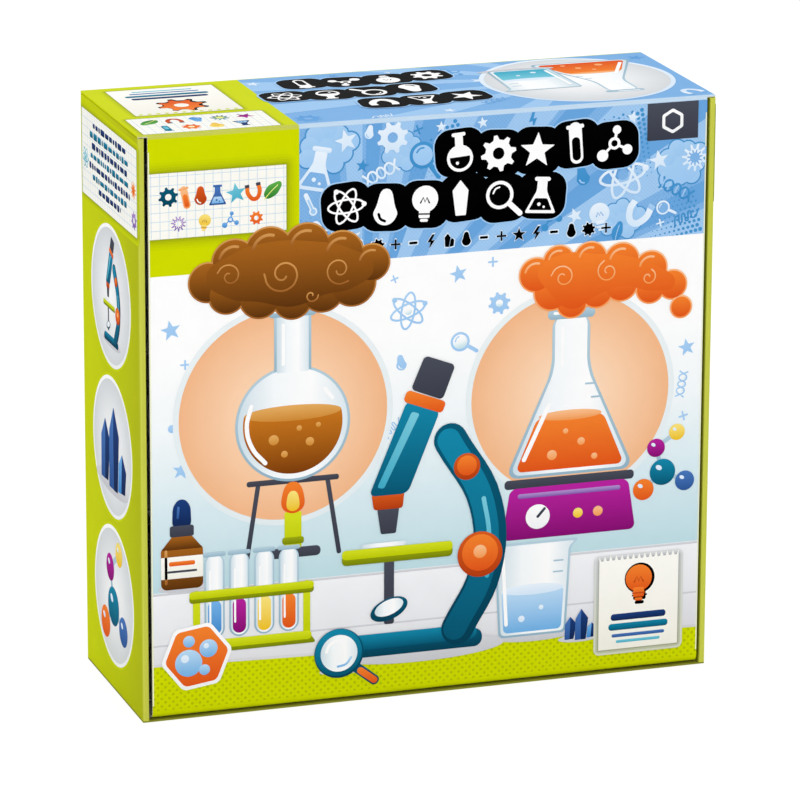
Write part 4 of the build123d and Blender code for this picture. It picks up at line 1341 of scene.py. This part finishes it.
def iconTitle(name, face, base, height, row, start, look):
    # a row of dark rounded patches, each with a plain white icon
    art = startPrint(name, face)
    spots = [
        (start + look["step"] * i, height + look["sway"] * cos(2.1 * i), 5 * cos(1.7 * i + look["phase"]))
        for i in range(len(row))
    ]
    width, tall, corner = look["patch"]
    for grow, inkName, level in ((look["rim"], "ray", base), (0.0, "black", base + 1)):
        for x, y, tilt in spots:
            moveTo(art, x, y, 1, tilt)
            slab(art, inkName, level, 0, 0, width + 2 * grow, tall + 2 * grow, corner + grow)
    for (x, y, tilt), icon in zip(spots, row):
        draw(art, icons[icon], base + 2, x, y, look["size"], look["turn"] + tilt, line="shine", fill="black")
    finishPrint(art)


# The front

front = {
    "left": -lidHalf / mm,
    "right": lidHalf / mm,
    "split": splitX / mm,
    "header": headerZ / mm,
    "top": caseTop / mm - 1.6,
    "bench": 56.0,  # back edge of the bench
    "benchFront": 33.0,
    "benchFoot": 12,
    "band": (4.7, 17.2, 24.0),  # foot of the dotted band, its head at the right and at the left
    "paleStripeWidth": 0.5,  # width of the pale edge stripes
    "rayPoint": (-30, 150),
    "rayTurns": ((14, 19), (25, 31), (37, 42), (49, 56), (63, 70), (77, 82), (90, 95)),
    "deepTurns": ((20, 23), (31, 35), (44, 48), (70, 75), (85, 89), (97, 103)),
}
boxOfHeader = (front["split"], front["header"], front["right"], front["top"])


def frontGround():
    art = startPrint("frontField", "front")
    across, bench, foot = front["right"] * 2, front["bench"], front["benchFoot"]
    panel(art, "field", 0, corners(front["left"], bench - 1, front["right"], front["header"]))
    slab(art, "bench", 1, 0, (bench + foot) / 2, across, bench - foot)
    slab(art, "benchEdge", 2, 0, bench - 0.7, across, 1.0)
    slab(art, "benchEdge", 2, 0, front["benchFront"], across, 0.8)
    low, rightHead, leftHead = front["band"]
    left, right = front["left"], front["right"]
    band = [(left, low), (right, low), (right, rightHead), (left, leftHead)]
    panel(art, "benchEdge", 2, [(x, y + 1.2) for x, y in band])
    panel(art, "limeDots", 3, band)
    finishPrint(art)
    art = startPrint("frontEdges", "front")
    for side in (-1, 1):
        # a pale stripe along each of the lid's cut edges
        x, tall = side * (right - 0.3), caseTop / mm
        slab(art, "edgeWear", 5, x, tall / 2, front["paleStripeWidth"], tall - 14)
    finishPrint(art)


def frontHeader():
    art = startPrint("frontHeader", "front")
    left, low, right, high = boxOfHeader
    panel(art, "skyDots", 0, corners(left, low, right, high))
    art["box"] = boxOfHeader
    wedges(art, "rayDots", 1, *front["rayPoint"], front["rayTurns"])
    wedges(art, "rayDeep", 1, *front["rayPoint"], front["deepTurns"])
    halftone(art, "dotBlue", 2, 10, 247, 16, 14, 215)
    halftone(art, "dotBlue", 2, -56, 192, 16, 9, 8)
    halftone(art, "dotBlue", 2, 119, 193, 14, 11, 100)
    halftone(art, "dotBlue", 2, 92, 246, 12, 14, 190)
    finishPrint(art)
    art = startPrint("frontLimeHead", "front")
    panel(art, "limeFlat", 0, corners(front["left"], low, left, high))
    finishPrint(art)


def frontSparks():
    # pale line drawings on the white, as in a pupil's notebook
    for name, rows in (
        ("frontSparksLeft", (
            ("star", -112, 168, 0.9, 10), ("cross", -106, 153, 0.6, 0), ("atom", -10, 168, 1.6, 20),
            ("drop", -13, 146, 0.7, 10), ("star", -108, 108, 0.8, -8), ("molecule", -109, 130, 1.1, 16),
            ("cross", -16, 182, 0.5, 20), ("spring", -16, 118, 0.9, 40),
        )),
        ("frontSparksRight", (
            ("star", 12, 182, 0.8, 12), ("lens", 14, 152, 1.1, 14), ("cross", 27, 186, 0.6, 0),
            ("gear", 30, 168, 1.0, 0), ("star", 114, 142, 0.8, 10), ("helix", 112, 126, 1.1, 80),
            ("cross", 113, 112, 0.6, 14), ("bolt", 21, 124, 0.7, 12),
        )),
    ):
        art = startPrint(name, "front")
        for icon, x, y, size, turn in rows:
            draw(art, icons[icon], 2, x, y, size, turn, line="ray", fill="field")
        finishPrint(art)


def frontDoodles():
    # chalk drawings and small clouds in the blue, in two sheets
    rows = (
        # icon, x, z, size, turn
        ("atom", 84, 219, 2.1, 12), ("star", 100, 224, 0.9, 10), ("helix", 108, 211, 1.5, -28),
        ("bulb", 74, 201.5, 1.25, 8), ("magnet", 91, 202, 1.3, -32), ("spring", 113, 198, 1.2, 10),
        ("star", 63, 203, 0.7, 20), ("cross", 101, 197, 0.5, 12), ("drop", 66, 220, 0.9, 14),
        ("burst", 116, 224, 1.2, 0), ("star", 88, 243, 0.6, -12), ("leaf", 82, 194.8, 0.7, 30),
        ("lens", 103, 203, 0.8, 20), ("bolt", 71, 232, 0.9, 10), ("molecule", 52, 202.5, 1.0, 20),
        ("coneFlask", -49, 231, 1.9, -12), ("star", -37, 242, 1.0, 14), ("star", -30, 231, 0.6, -10),
        ("gear", -17, 242, 1.4, 6), ("helix", -22, 227.5, 1.5, 24), ("lens", -3, 232, 1.5, -8),
        ("atom", -50, 200, 1.8, 30), ("star", -34, 201, 0.8, 18), ("cross", -6, 244.5, 0.6, 20),
        ("star", 22, 245.5, 0.5, 8), ("thermometer", -52.5, 216.5, 1.0, 24), ("bolt", 44, 245, 0.7, 14),
        ("cross", -41, 222.5, 0.5, 0), ("drop", -27, 245, 0.6, -12), ("spring", -38, 194.5, 0.9, 6),
        ("star", 4, 245, 0.5, 0), ("burst", 8, 222.8, 0.5, 0), ("puff", -45, 240, 2.6, 10),
        ("puff", 110, 222, 2.4, 30), ("puff", -12, 236, 1.9, 0), ("puff", 84, 200, 2.0, 12),
    )
    for name, rightHalf in (("frontDoodlesRight", True), ("frontDoodlesLeft", False)):
        art = startPrint(name, "front")
        art["box"] = boxOfHeader
        for i, (icon, x, y, size, turn) in enumerate(rows):
            if (x > 45) == rightHalf:
                line, fill = (("chalk", "skyDots"), ("chalk", "ray"), ("dotBlue", "ray"))[i % 3]
                layer = 4 if icon == "puff" else 7
                draw(art, icons[icon], layer, x, y, size, turn, line=line, fill=fill)
        finishPrint(art)


underline = {"marks": 15, "start": -31, "step": 7.7, "height": 196.8}
frontLook = {
    "step": 17.0, "sway": 1.1, "phase": 0.6, "patch": (21.6, 20.2, 7.0), "rim": 0.6, "size": 1.58, "turn": 0,
}


def frontTitle():
    # two rows of icon patches and a line of small marks below them
    upperRow = ("roundFlask", "gear", "star", "tube", "molecule")
    lowerRow = ("atom", "drop", "bulb", "crystal", "lens", "coneFlask")
    iconTitle("frontTitleUpper", "front", 10, 232.6, upperRow, 12.0, frontLook)
    iconTitle("frontTitleLower", "front", 10, 213.4, lowerRow, -37.0, frontLook)
    art = startPrint("frontUnderline", "front")
    marks = ("drop", "gear", "cross", "star", "bolt", "crystal")
    height = underline["height"]
    for i in range(underline["marks"]):
        x = underline["start"] + underline["step"] * i
        for grow, inkName, level in ((1.0, "chalk", 10), (0.0, "black", 13)):
            if i % 4 == 3:
                moveTo(art)
                slab(art, inkName, level, x, height, 3.6 + grow, 1.1 + grow, 0.5)
            else:
                size = 0.6 + 0.12 * grow
                draw(art, icons[marks[i % 6]], level, x, height, size, 0, line=inkName, fill=inkName)
    finishPrint(art)


def frontTag():
    art = startPrint("frontTag", "front")
    panel(art, "slate", 10, corners(94.5, 232.5, 117.2, front["top"]))
    draw(art, (("hexagon", "white", 0, (5.4, 30)), ("hexagon", "slate", 1, (3.9, 30))), 11, 105.8, 240.4)
    finishPrint(art)


def frontLabel():
    # squared-paper label with two rows of bright icons
    art = startPrint("frontLabel", "front")
    points = corners(front["left"], 206.6, -62.6, 234.0)
    art["box"] = (front["left"], 150, 0, 250)
    shadow(art, 1, points, limeShades, 4.5)
    panel(art, "graphPaper", 4, points)
    for icon, x, y, size, turn, line, fill in (
        ("gear", -112.6, 224.0, 0.86, 0, "tealDeep", "paper"),
        ("tube", -105.4, 223.2, 0.86, 12, "orangeLight", "orange"),
        ("drop", -99.0, 223.6, 0.8, 0, "orangeDeep", "paper"),
        ("coneFlask", -91.8, 223.4, 0.86, 0, "navyLight", "water"),
        ("star", -83.9, 223.6, 0.9, 8, "tealLight", "white"),
        ("magnet", -76.4, 223.4, 0.8, 10, "orange", "slate"),
        ("leaf", -68.4, 223.6, 0.76, 0, "green", "limeLight"),
        ("burst", -108.4, 212.6, 0.66, 0, "violet", "graphPaper"),
        ("bulb", -97.4, 212.2, 0.72, -8, "yellow", "brownLight"),
        ("molecule", -86.4, 212.4, 0.72, 0, "waterDeep", "chalk"),
        ("gear", -75.4, 212.6, 0.6, 10, "orange", "graphPaper"),
    ):
        draw(art, icons[icon], 5, x, y, size, turn, line=line, fill=fill)
    finishPrint(art)


def frontLeftScene():
    printDiscs("frontLeftDisc", "front", -64, 128, ("fieldShade1", 5, 47.5), ("peach", 6, 45.0))
    printPicture("frontBurner", "front", "burner", 7, -60, 66)
    printPicture("frontRoundFlask", "front", "roundFlask", 10, -60, 124, 0.92)
    lobes = (
        (-60, 177, 8.0), (-47, 180, 9.0), (-34, 182, 9.5), (-26, 190, 7.5), (-39, 195, 9.0), (-54, 199, 9.5),
        (-70, 198, 10.0), (-85, 195, 9.0), (-96, 187, 8.0), (-88, 181, 7.5), (-74, 179, 8.5),
    )
    body = (
        (-60, 174), (-46, 178), (-34, 180), (-25, 188), (-36, 197), (-52, 201), (-70, 202), (-86, 198),
        (-97, 189), (-88, 180), (-74, 177),
    )
    curls = (
        (-40, 188, 200, 1.3, 6.4), (-64, 188, -40, -1.4, 8.2), (-87, 189, 90, 1.2, 5.4),
        (-52, 178, 0, 1.0, 3.0),
    )
    vapour("frontBrownVapour", 16, "brown", "brownLight", lobes, body, curls)


def frontRightScene():
    printDiscs("frontRightDisc", "front", 62, 126, ("fieldShade1", 5, 46.5), ("peach", 6, 44.0))
    printPicture("frontHotPlate", "front", "hotPlate", 7, 62, 64)
    printPicture("frontConeFlask", "front", "coneFlask", 10, 62, 91)
    lobes = (
        (62, 166, 6.5), (53, 171, 7.5), (46, 179, 7.0), (56, 184, 6.5), (70, 184, 7.0), (84, 182, 7.5),
        (97, 178, 7.0), (107, 170, 6.0), (111, 160, 4.4), (97, 169, 6.0), (84, 172, 7.0), (73, 170, 7.0),
    )
    body = (
        (62, 163), (52, 171), (47, 181), (58, 187), (72, 186), (86, 184), (99, 179), (108, 170), (98, 168),
        (85, 171), (73, 168),
    )
    curls = ((58, 177, 60, 1.3, 5.4), (78, 178, 220, -1.3, 5.0), (96, 174, 30, 1.1, 3.6))
    vapour("frontOrangeVapour", 16, "orange", "orangeLight", lobes, body, curls)


def frontBench():
    printPicture("frontDropper", "front", "dropper", 10, -108, 57, 0.86)
    printPicture("frontBalls", "front", "balls", 10, 104, 88, 0.78)
    printPicture("frontTubeRack", "front", "tubeRack", 14, -78, 28, 1.04)
    printPicture("frontBlueBeaker", "front", "beaker", 14, 46, 21, 0.98, fill="water", line="chalk")
    printPicture("frontMicroscope", "front", "microscope", 22, -7, 18, 1.22)
    printPicture("frontCrystals", "front", "crystals", 22, 67, 17.4, 0.66)
    printPicture("frontEmblem", "front", "emblem", 26, -102, 27, 0.98)
    printPicture("frontLens", "front", "lens", 32, -40, 22, 0.86)


def frontNote():
    # a sheet torn from a spiral pad, with a drawing and plain bars
    art = startPrint("frontNote", "front")
    left, low, right, high = 76.0, 11.0, 112.0, 53.0
    holes, depth = 14, 2.2
    step = (right - left) / holes
    outline = [(left, low), (right, low)]
    for i in range(holes):
        x = right - step * i
        outline += [(x, high), (x - step * 0.3, high - depth), (x - step * 0.7, high - depth)]
    shadow(art, 26, corners(left, low, right, high - depth), noteShades, 2.2)
    panel(art, "paper", 29, outline + [(left, high)])
    draw(art, icons["bulb"], 30, 94.4, 39.2, 1.9, 0, line="black", fill="black")
    draw(art, icons["bulb"], 32, 94.0, 39.6, 1.66, 0, line="orange", fill="orangeDeep")
    bars(art, 30, 94, (
        (25.2, 25.0, 3.0, "navy"), (20.9, 27.0, 3.0, "teal"),
        (17.0, 24.0, 1.5, "navyLight"), (14.3, 20.0, 1.3, "tealLight"),
    ))
    finishPrint(art)


for part in (
    frontGround, frontHeader, frontSparks, frontDoodles, frontTitle, frontTag, frontLabel, frontLeftScene,
    frontRightScene, frontBench, frontNote,
):
    part()
print("front printed")


# Top, sides and rear

upper = {
    "left": cadBox[0].x / mm + 0.6,
    "right": cadBox[1].x / mm - 0.6,
    "front": caseFace / mm + 2.2,
    "rear": cadBox[1].y / mm - 0.6,
    "rayPoint": (80, 4),
    "rayTurns": ((100, 108), (122, 132), (146, 155), (166, 173), (184, 191), (204, 213), (228, 238)),
    "turn": 180,  # the top is read from behind
}
boxOfTop = (front["split"], upper["front"], upper["right"], upper["rear"])
topLook = {
    "step": -18.4, "sway": 1.2, "phase": 0.0, "patch": (20.4, 18.6, 6.0), "rim": 0.9, "size": 1.42,
    "turn": upper["turn"],
}


def topGround():
    art = startPrint("topBlue", "top")
    panel(art, "skyDots", 0, corners(*boxOfTop))
    art["box"] = boxOfTop
    wedges(art, "rayDots", 1, *upper["rayPoint"], upper["rayTurns"])
    finishPrint(art)
    art = startPrint("topDoodles", "top")
    art["box"] = boxOfTop
    for i, (icon, x, y, size, turn) in enumerate((
        ("atom", 31, 30, 1.5, 20), ("star", 40, 12, 0.8, 8), ("helix", 34, -26, 1.3, 30),
        ("star", -53, 34, 0.7, 14), ("gear", -50, -34, 1.2, 6), ("cross", 8, 38, 0.5, 10),
        ("star", -16, 38.5, 0.5, 0), ("magnet", 118, -34, 1.1, 24), ("star", 119, 34, 0.8, 9),
        ("spring", -20, -38, 1.0, 4), ("cross", 42, -8, 0.6, 20), ("star", 10, -37, 0.6, 12),
    )):
        line = "chalk" if i % 2 else "chalkBlue"
        draw(art, icons[icon], 3, x, y, size, turn + upper["turn"], line=line, fill="skyDots")
    finishPrint(art)


def topCircle():
    turn = upper["turn"]
    printDiscs("topCircle", "top", 80, 1, ("chalk", 6, 41.5), ("ringGrey", 7, 39.5))
    printPicture("topCircleFlask", "top", "coneFlask", 8, 92, 33, 0.82, turn)
    inks = {"fill": "tealLight", "line": "chalk"}
    printPicture("topCircleBeaker", "top", "beaker", 14, 62, 26, 0.9, turn, **inks)


def topTitle():
    iconTitle("topTitleUpper", "top", 8, 26.5, ("gear", "bulb", "molecule", "tube"), 22.0, topLook)
    iconTitle("topTitleMiddle", "top", 12, 5.5, ("drop", "lens", "roundFlask", "atom"), 8.0, topLook)
    iconTitle("topTitleLower", "top", 16, -15.5, ("star", "coneFlask", "magnet"), 25.0, topLook)


def topLime():
    art = startPrint("topNote", "top")
    left, low, right, high = -116.0, -9.0, -70.0, 38.0
    shadow(art, 1, corners(left, low, right, high), limeShades, 2.4)
    panel(art, "paper", 4, corners(left, low, right, high), 0.6)
    draw(art, icons["gear"], 5, -92, 5.4, 2.3, upper["turn"], line="black", fill="paper")
    draw(art, icons["gear"], 7, -92.6, 4.8, 2.0, upper["turn"], line="orange", fill="paper")
    for i in range(12):
        disc(art, "limeFlat", 6, left + 2.6 + i * 3.7, low + 1.7, 0.9)
    bars(art, 5, -93, (
        (20.6, 33, 3.0, "navy"), (25.4, 36, 3.0, "teal"), (29.8, 30, 1.6, "navyLight"),
        (33.4, 26, 1.5, "tealLight"),
    ))
    finishPrint(art)
    art = startPrint("topLabel", "top")
    art["box"] = (-125.0, upper["front"], 0.0, upper["rear"])
    points = corners(-122, -41.6, -64, -14)
    shadow(art, 1, points, limeShades, 2.2)
    panel(art, "graphPaper", 4, points, 0.6)
    for icon, x, y, line, fill in (
        ("leaf", -114, -21.5, "green", "limeLight"), ("magnet", -103.5, -21.5, "orangeDeep", "slate"),
        ("drop", -94, -21.5, "waterDeep", "chalk"), ("burst", -84, -21.5, "teal", "limeLight"),
        ("star", -73.5, -21.5, "magenta", "white"), ("tube", -110, -33.5, "teal", "tealLight"),
        ("gear", -99.5, -33.5, "orange", "yellowPale"), ("bulb", -89, -33.5, "yellow", "orangeDeep"),
        ("coneFlask", -77.5, -33.5, "navy", "water"),
    ):
        draw(art, icons[icon], 5, x, y, 0.86, upper["turn"], line=line, fill=fill)
    finishPrint(art)


sideFace = {
    "half": 44.0,  # mm from the middle to where the print ends
    "label": (-42.6, 207.0, 41.4, 243.6),
    "dashes": (25, 30, 27, 29, 31, 26, 17),  # how far each row reaches from the middle
    "firstRow": 239.2,
    "rowStep": 4.4,
    "gap": 0.9,
    "circlesHead": 203.9,
    "heights": (172.4, 107.2, 42.0),
    "radius": 30.4,
    "ring": 1.6,
    "left": (("microscope", 0, -21, 0.44), ("crystals", -1, -17, 1.75), ("balls", -1, -5, 1.15)),
    "right": (("coneFlask", 0, -24, 0.72), ("lens", -3, 3, 1.5), ("tubeRack", 0, -20, 0.92)),
}


def sidePrint(side):
    half = sideFace["half"]
    art = startPrint(f"{side}SideLabel", side)
    art["box"] = (-half, 0.0, half, 250.0)
    points = corners(*sideFace["label"])
    shadow(art, 1, points, limeShades, 3.0)
    panel(art, "graphPaper", 4, points, 0.6)
    for i, reach in enumerate(sideFace["dashes"]):
        # plain dashes of uneven length
        order = random.Random(i + len(side))
        y = sideFace["firstRow"] - sideFace["rowStep"] * i
        x = -reach
        while x < reach - 1:
            width = min(order.uniform(2.0, 6.5), reach - x)
            tall = order.uniform(1.9, 2.9)
            slab(art, ("navy", "teal")[i % 2], 5, x + width / 2, y, width, tall, 0.8)
            x += width + sideFace["gap"]
    draw(art, icons["burst"], 5, 36.4, 226, 0.8, 0, line="orangeLight", fill="orange")
    draw(art, icons["gear"], 5, 37.0, 213.4, 0.8, 0, line="violet", fill="graphPaper")
    draw(art, icons["atom"], 5, -37.0, 223, 0.9, 0, line="tealLight", fill="tealLight")
    finishPrint(art)
    radius = sideFace["radius"]
    for height, (picture, x, y, size) in zip(sideFace["heights"], sideFace[side]):
        art = startPrint(f"{side}Side_{picture}", side)
        art["box"] = (-half, 0.0, half, sideFace["circlesHead"])
        disc(art, "limeShade1", 1, 0, height, radius + 1.0)
        disc(art, "white", 2, 0, height, radius)
        disc(art, "ringGrey", 3, 0, height, radius - sideFace["ring"])
        draw(art, pictures[picture], 4, x, height + y, size, fill="water", line="chalk")
        finishPrint(art)


rear = {"width": 226, "headMiddle": 222, "iconStep": 24, "columns": 73, "firstCard": 152, "rows": 84}
rearCards = (
    # picture, how far its middle is above the drawing's zero, size, disc
    ("roundFlask", 14, 0.62, "tealLight"), ("microscope", 52, 0.44, "yellow"), ("tubeRack", 21, 0.9, "peach"),
    ("coneFlask", 36, 0.62, "water"), ("crystals", 9, 1.7, "limeLight"), ("balls", 6, 1.1, "orangeLight"),
)


def rearPrint():
    art = startPrint("rearPanel", "rear")
    slab(art, "paper", 1, 0, 108, rear["width"], 178, 5)
    finishPrint(art)
    art = startPrint("rearHead", "rear")
    middle = rear["headMiddle"]
    slab(art, "skyDots", 1, 0, middle, rear["width"], 34, 5)
    for i, icon in enumerate(("atom", "star", "bulb", "gear", "molecule", "drop", "helix", "star", "lens")):
        size, turn = (1.5, -8) if i % 2 else (1.9, 8)
        x = rear["iconStep"] * (i - 4)
        draw(art, icons[icon], 2, x, middle, size, turn, line="chalk", fill="chalkBlue")
    finishPrint(art)
    for i, (picture, lift, size, ground) in enumerate(rearCards):
        x, y = (i % 3 - 1) * rear["columns"], rear["firstCard"] - rear["rows"] * (i // 3)
        art = startPrint(f"rearCard_{picture}", "rear")
        disc(art, "fieldShade1", 2, x, y, 31.5)
        disc(art, ground, 3, x, y, 30)
        draw(art, pictures[picture], 4, x, y - lift * size, size, fill="water", line="chalk")
        for step, (width, inkName) in enumerate(((42, "navy"), (50, "teal"), (36, "tealLight"))):
            slab(art, inkName, 2, x, y - 35.2 - 2.9 * step, width, 1.7, 0.7)
        finishPrint(art)


topGround()
topCircle()
topTitle()
topLime()
sidePrint("left")
sidePrint("right")
rearPrint()
print("top, sides and rear printed")


# Scale dial, beakers and booklet

dial = {
    "box": (-19.5, -3.2, 19.5, 19.5),
    "fan": (2.6, 11.2),
    "shades": ("dialPeach", "peachMid", "orangeLight", "orangeMid", "orange"),
    "line": (11.2, 11.6),
    "marks": 20,
    "figures": 14.9,  # mm from the pinion
}
# printed card dial, pressed into the housing
giveMaterial(ink("paper", "dial"), "scale_dial")


def dialPrint():
    art = startPrint("dialPrint", "dial", slot="dial_card")
    art["box"] = dial["box"]
    for i, shade in enumerate(dial["shades"]):
        fan(art, shade, 0, 0, 0, *dial["fan"], 180 - 36 * i, 144 - 36 * i)
    fan(art, "orangeDeep", 1, 0, 0, *dial["line"], 180, 0)
    for i in range(dial["marks"] + 1):
        angle = radians(180 - 9 * i)
        inner, width = (11.6, 0.22) if i % 4 else (9.8, 0.4)
        ends = [(r * cos(angle), r * sin(angle)) for r in (inner, 12.7)]
        stroke(art, "slate", 2, ends, width, False, False, False)
    for i in range(6):
        angle = radians(180 - 36 * i)
        spot = dial["figures"] * cos(angle), max(dial["figures"] * sin(angle), 1.4)
        numeral(art, "slate", 2, str(i), *spot, 3.0)
    finishPrint(art)


beakerPrints = {
    # node: mm across the floor, what is printed, its ink, its height up the wall and its size
    "small_beaker": (31.0, "1", "orange", 22.0, 20.0),
    "middle_beaker": (42.0, "2", "teal", 28.0, 27.0),
    "large_beaker": (54.0, None, "lime", 36.0, 26.0),
}
wrap = {"strip": 1.2, "lift": 0.08}  # mm: how wide the bent strips are, how far off the wall


def wrapPrint(art, node, floorAcross):
    # bends a flat print round a beaker's cone, a hair off its wall
    low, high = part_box(node)
    height = (high.z - low.z) / mm
    top = (high.y - low.y) / 2 / mm
    bottom = floorAcross / 2
    centre = Vector((high.x / mm - top, (low.y + high.y) / 2 / mm, low.z / mm))
    mesh = art["mesh"]
    edge = max(v.co.x for v in mesh.verts)
    x = min(v.co.x for v in mesh.verts)
    while x < edge:
        cut(mesh, (x, 0, 0), (1, 0, 0), False)
        x += wrap["strip"]
    for vert in mesh.verts:
        radius = bottom + (top - bottom) * vert.co.y / height + wrap["lift"] + vert.co.z
        angle = vert.co.x / radius
        vert.co = centre + Vector((radius * sin(angle), -radius * cos(angle), vert.co.y))


def beakerPrint(node, floorAcross, figure, inkName, middle, tall):
    art = startPrint(f"{node}_print", None, node, "clear_plastic")
    if figure:
        numeral(art, inkName, 0, figure, 0, middle, tall, 0.05)
    else:
        for y in (middle - tall * 0.22, middle + tall * 0.22):
            slab(art, inkName, 0, 0, y, tall, tall * 0.26, tall * 0.12)
    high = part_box(node)[1].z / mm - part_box(node)[0].z / mm
    for step in range(2, 9):
        y = high * step / 10
        width = 4.0 if step % 2 else 7.0
        slab(art, "paper", 0, 13.5 + (width - 7.0) / 2 + floorAcross * 0.12, y, width, 0.5, 0.2)
    wrapPrint(art, node, floorAcross)
    finishPrint(art)


def bookletPrint():
    art = startPrint("bookletPrint", "booklet", slot="booklet_paper")
    slab(art, "limeFlat", 0, 0, -72, 198, 40)
    slab(art, "white", 1, 0, 18, 176, 118, 8)
    for picture, x, y in (("coneFlask", -54, -18), ("tubeRack", 4, -4), ("beaker", 58, -4)):
        draw(art, pictures[picture], 2, x, y, fill="water", line="chalk")
    for step, (width, inkName) in enumerate(((70, "navy"), (90, "teal"), (60, "navyLight"))):
        slab(art, inkName, 2, 0, -64 - 7 * step, width, 4.0, 1.6)
    finishPrint(art)


dialPrint()
for node, facts in beakerPrints.items():
    beakerPrint(node, *facts)
bookletPrint()
print("dial, beakers and booklet printed")

print("finished")
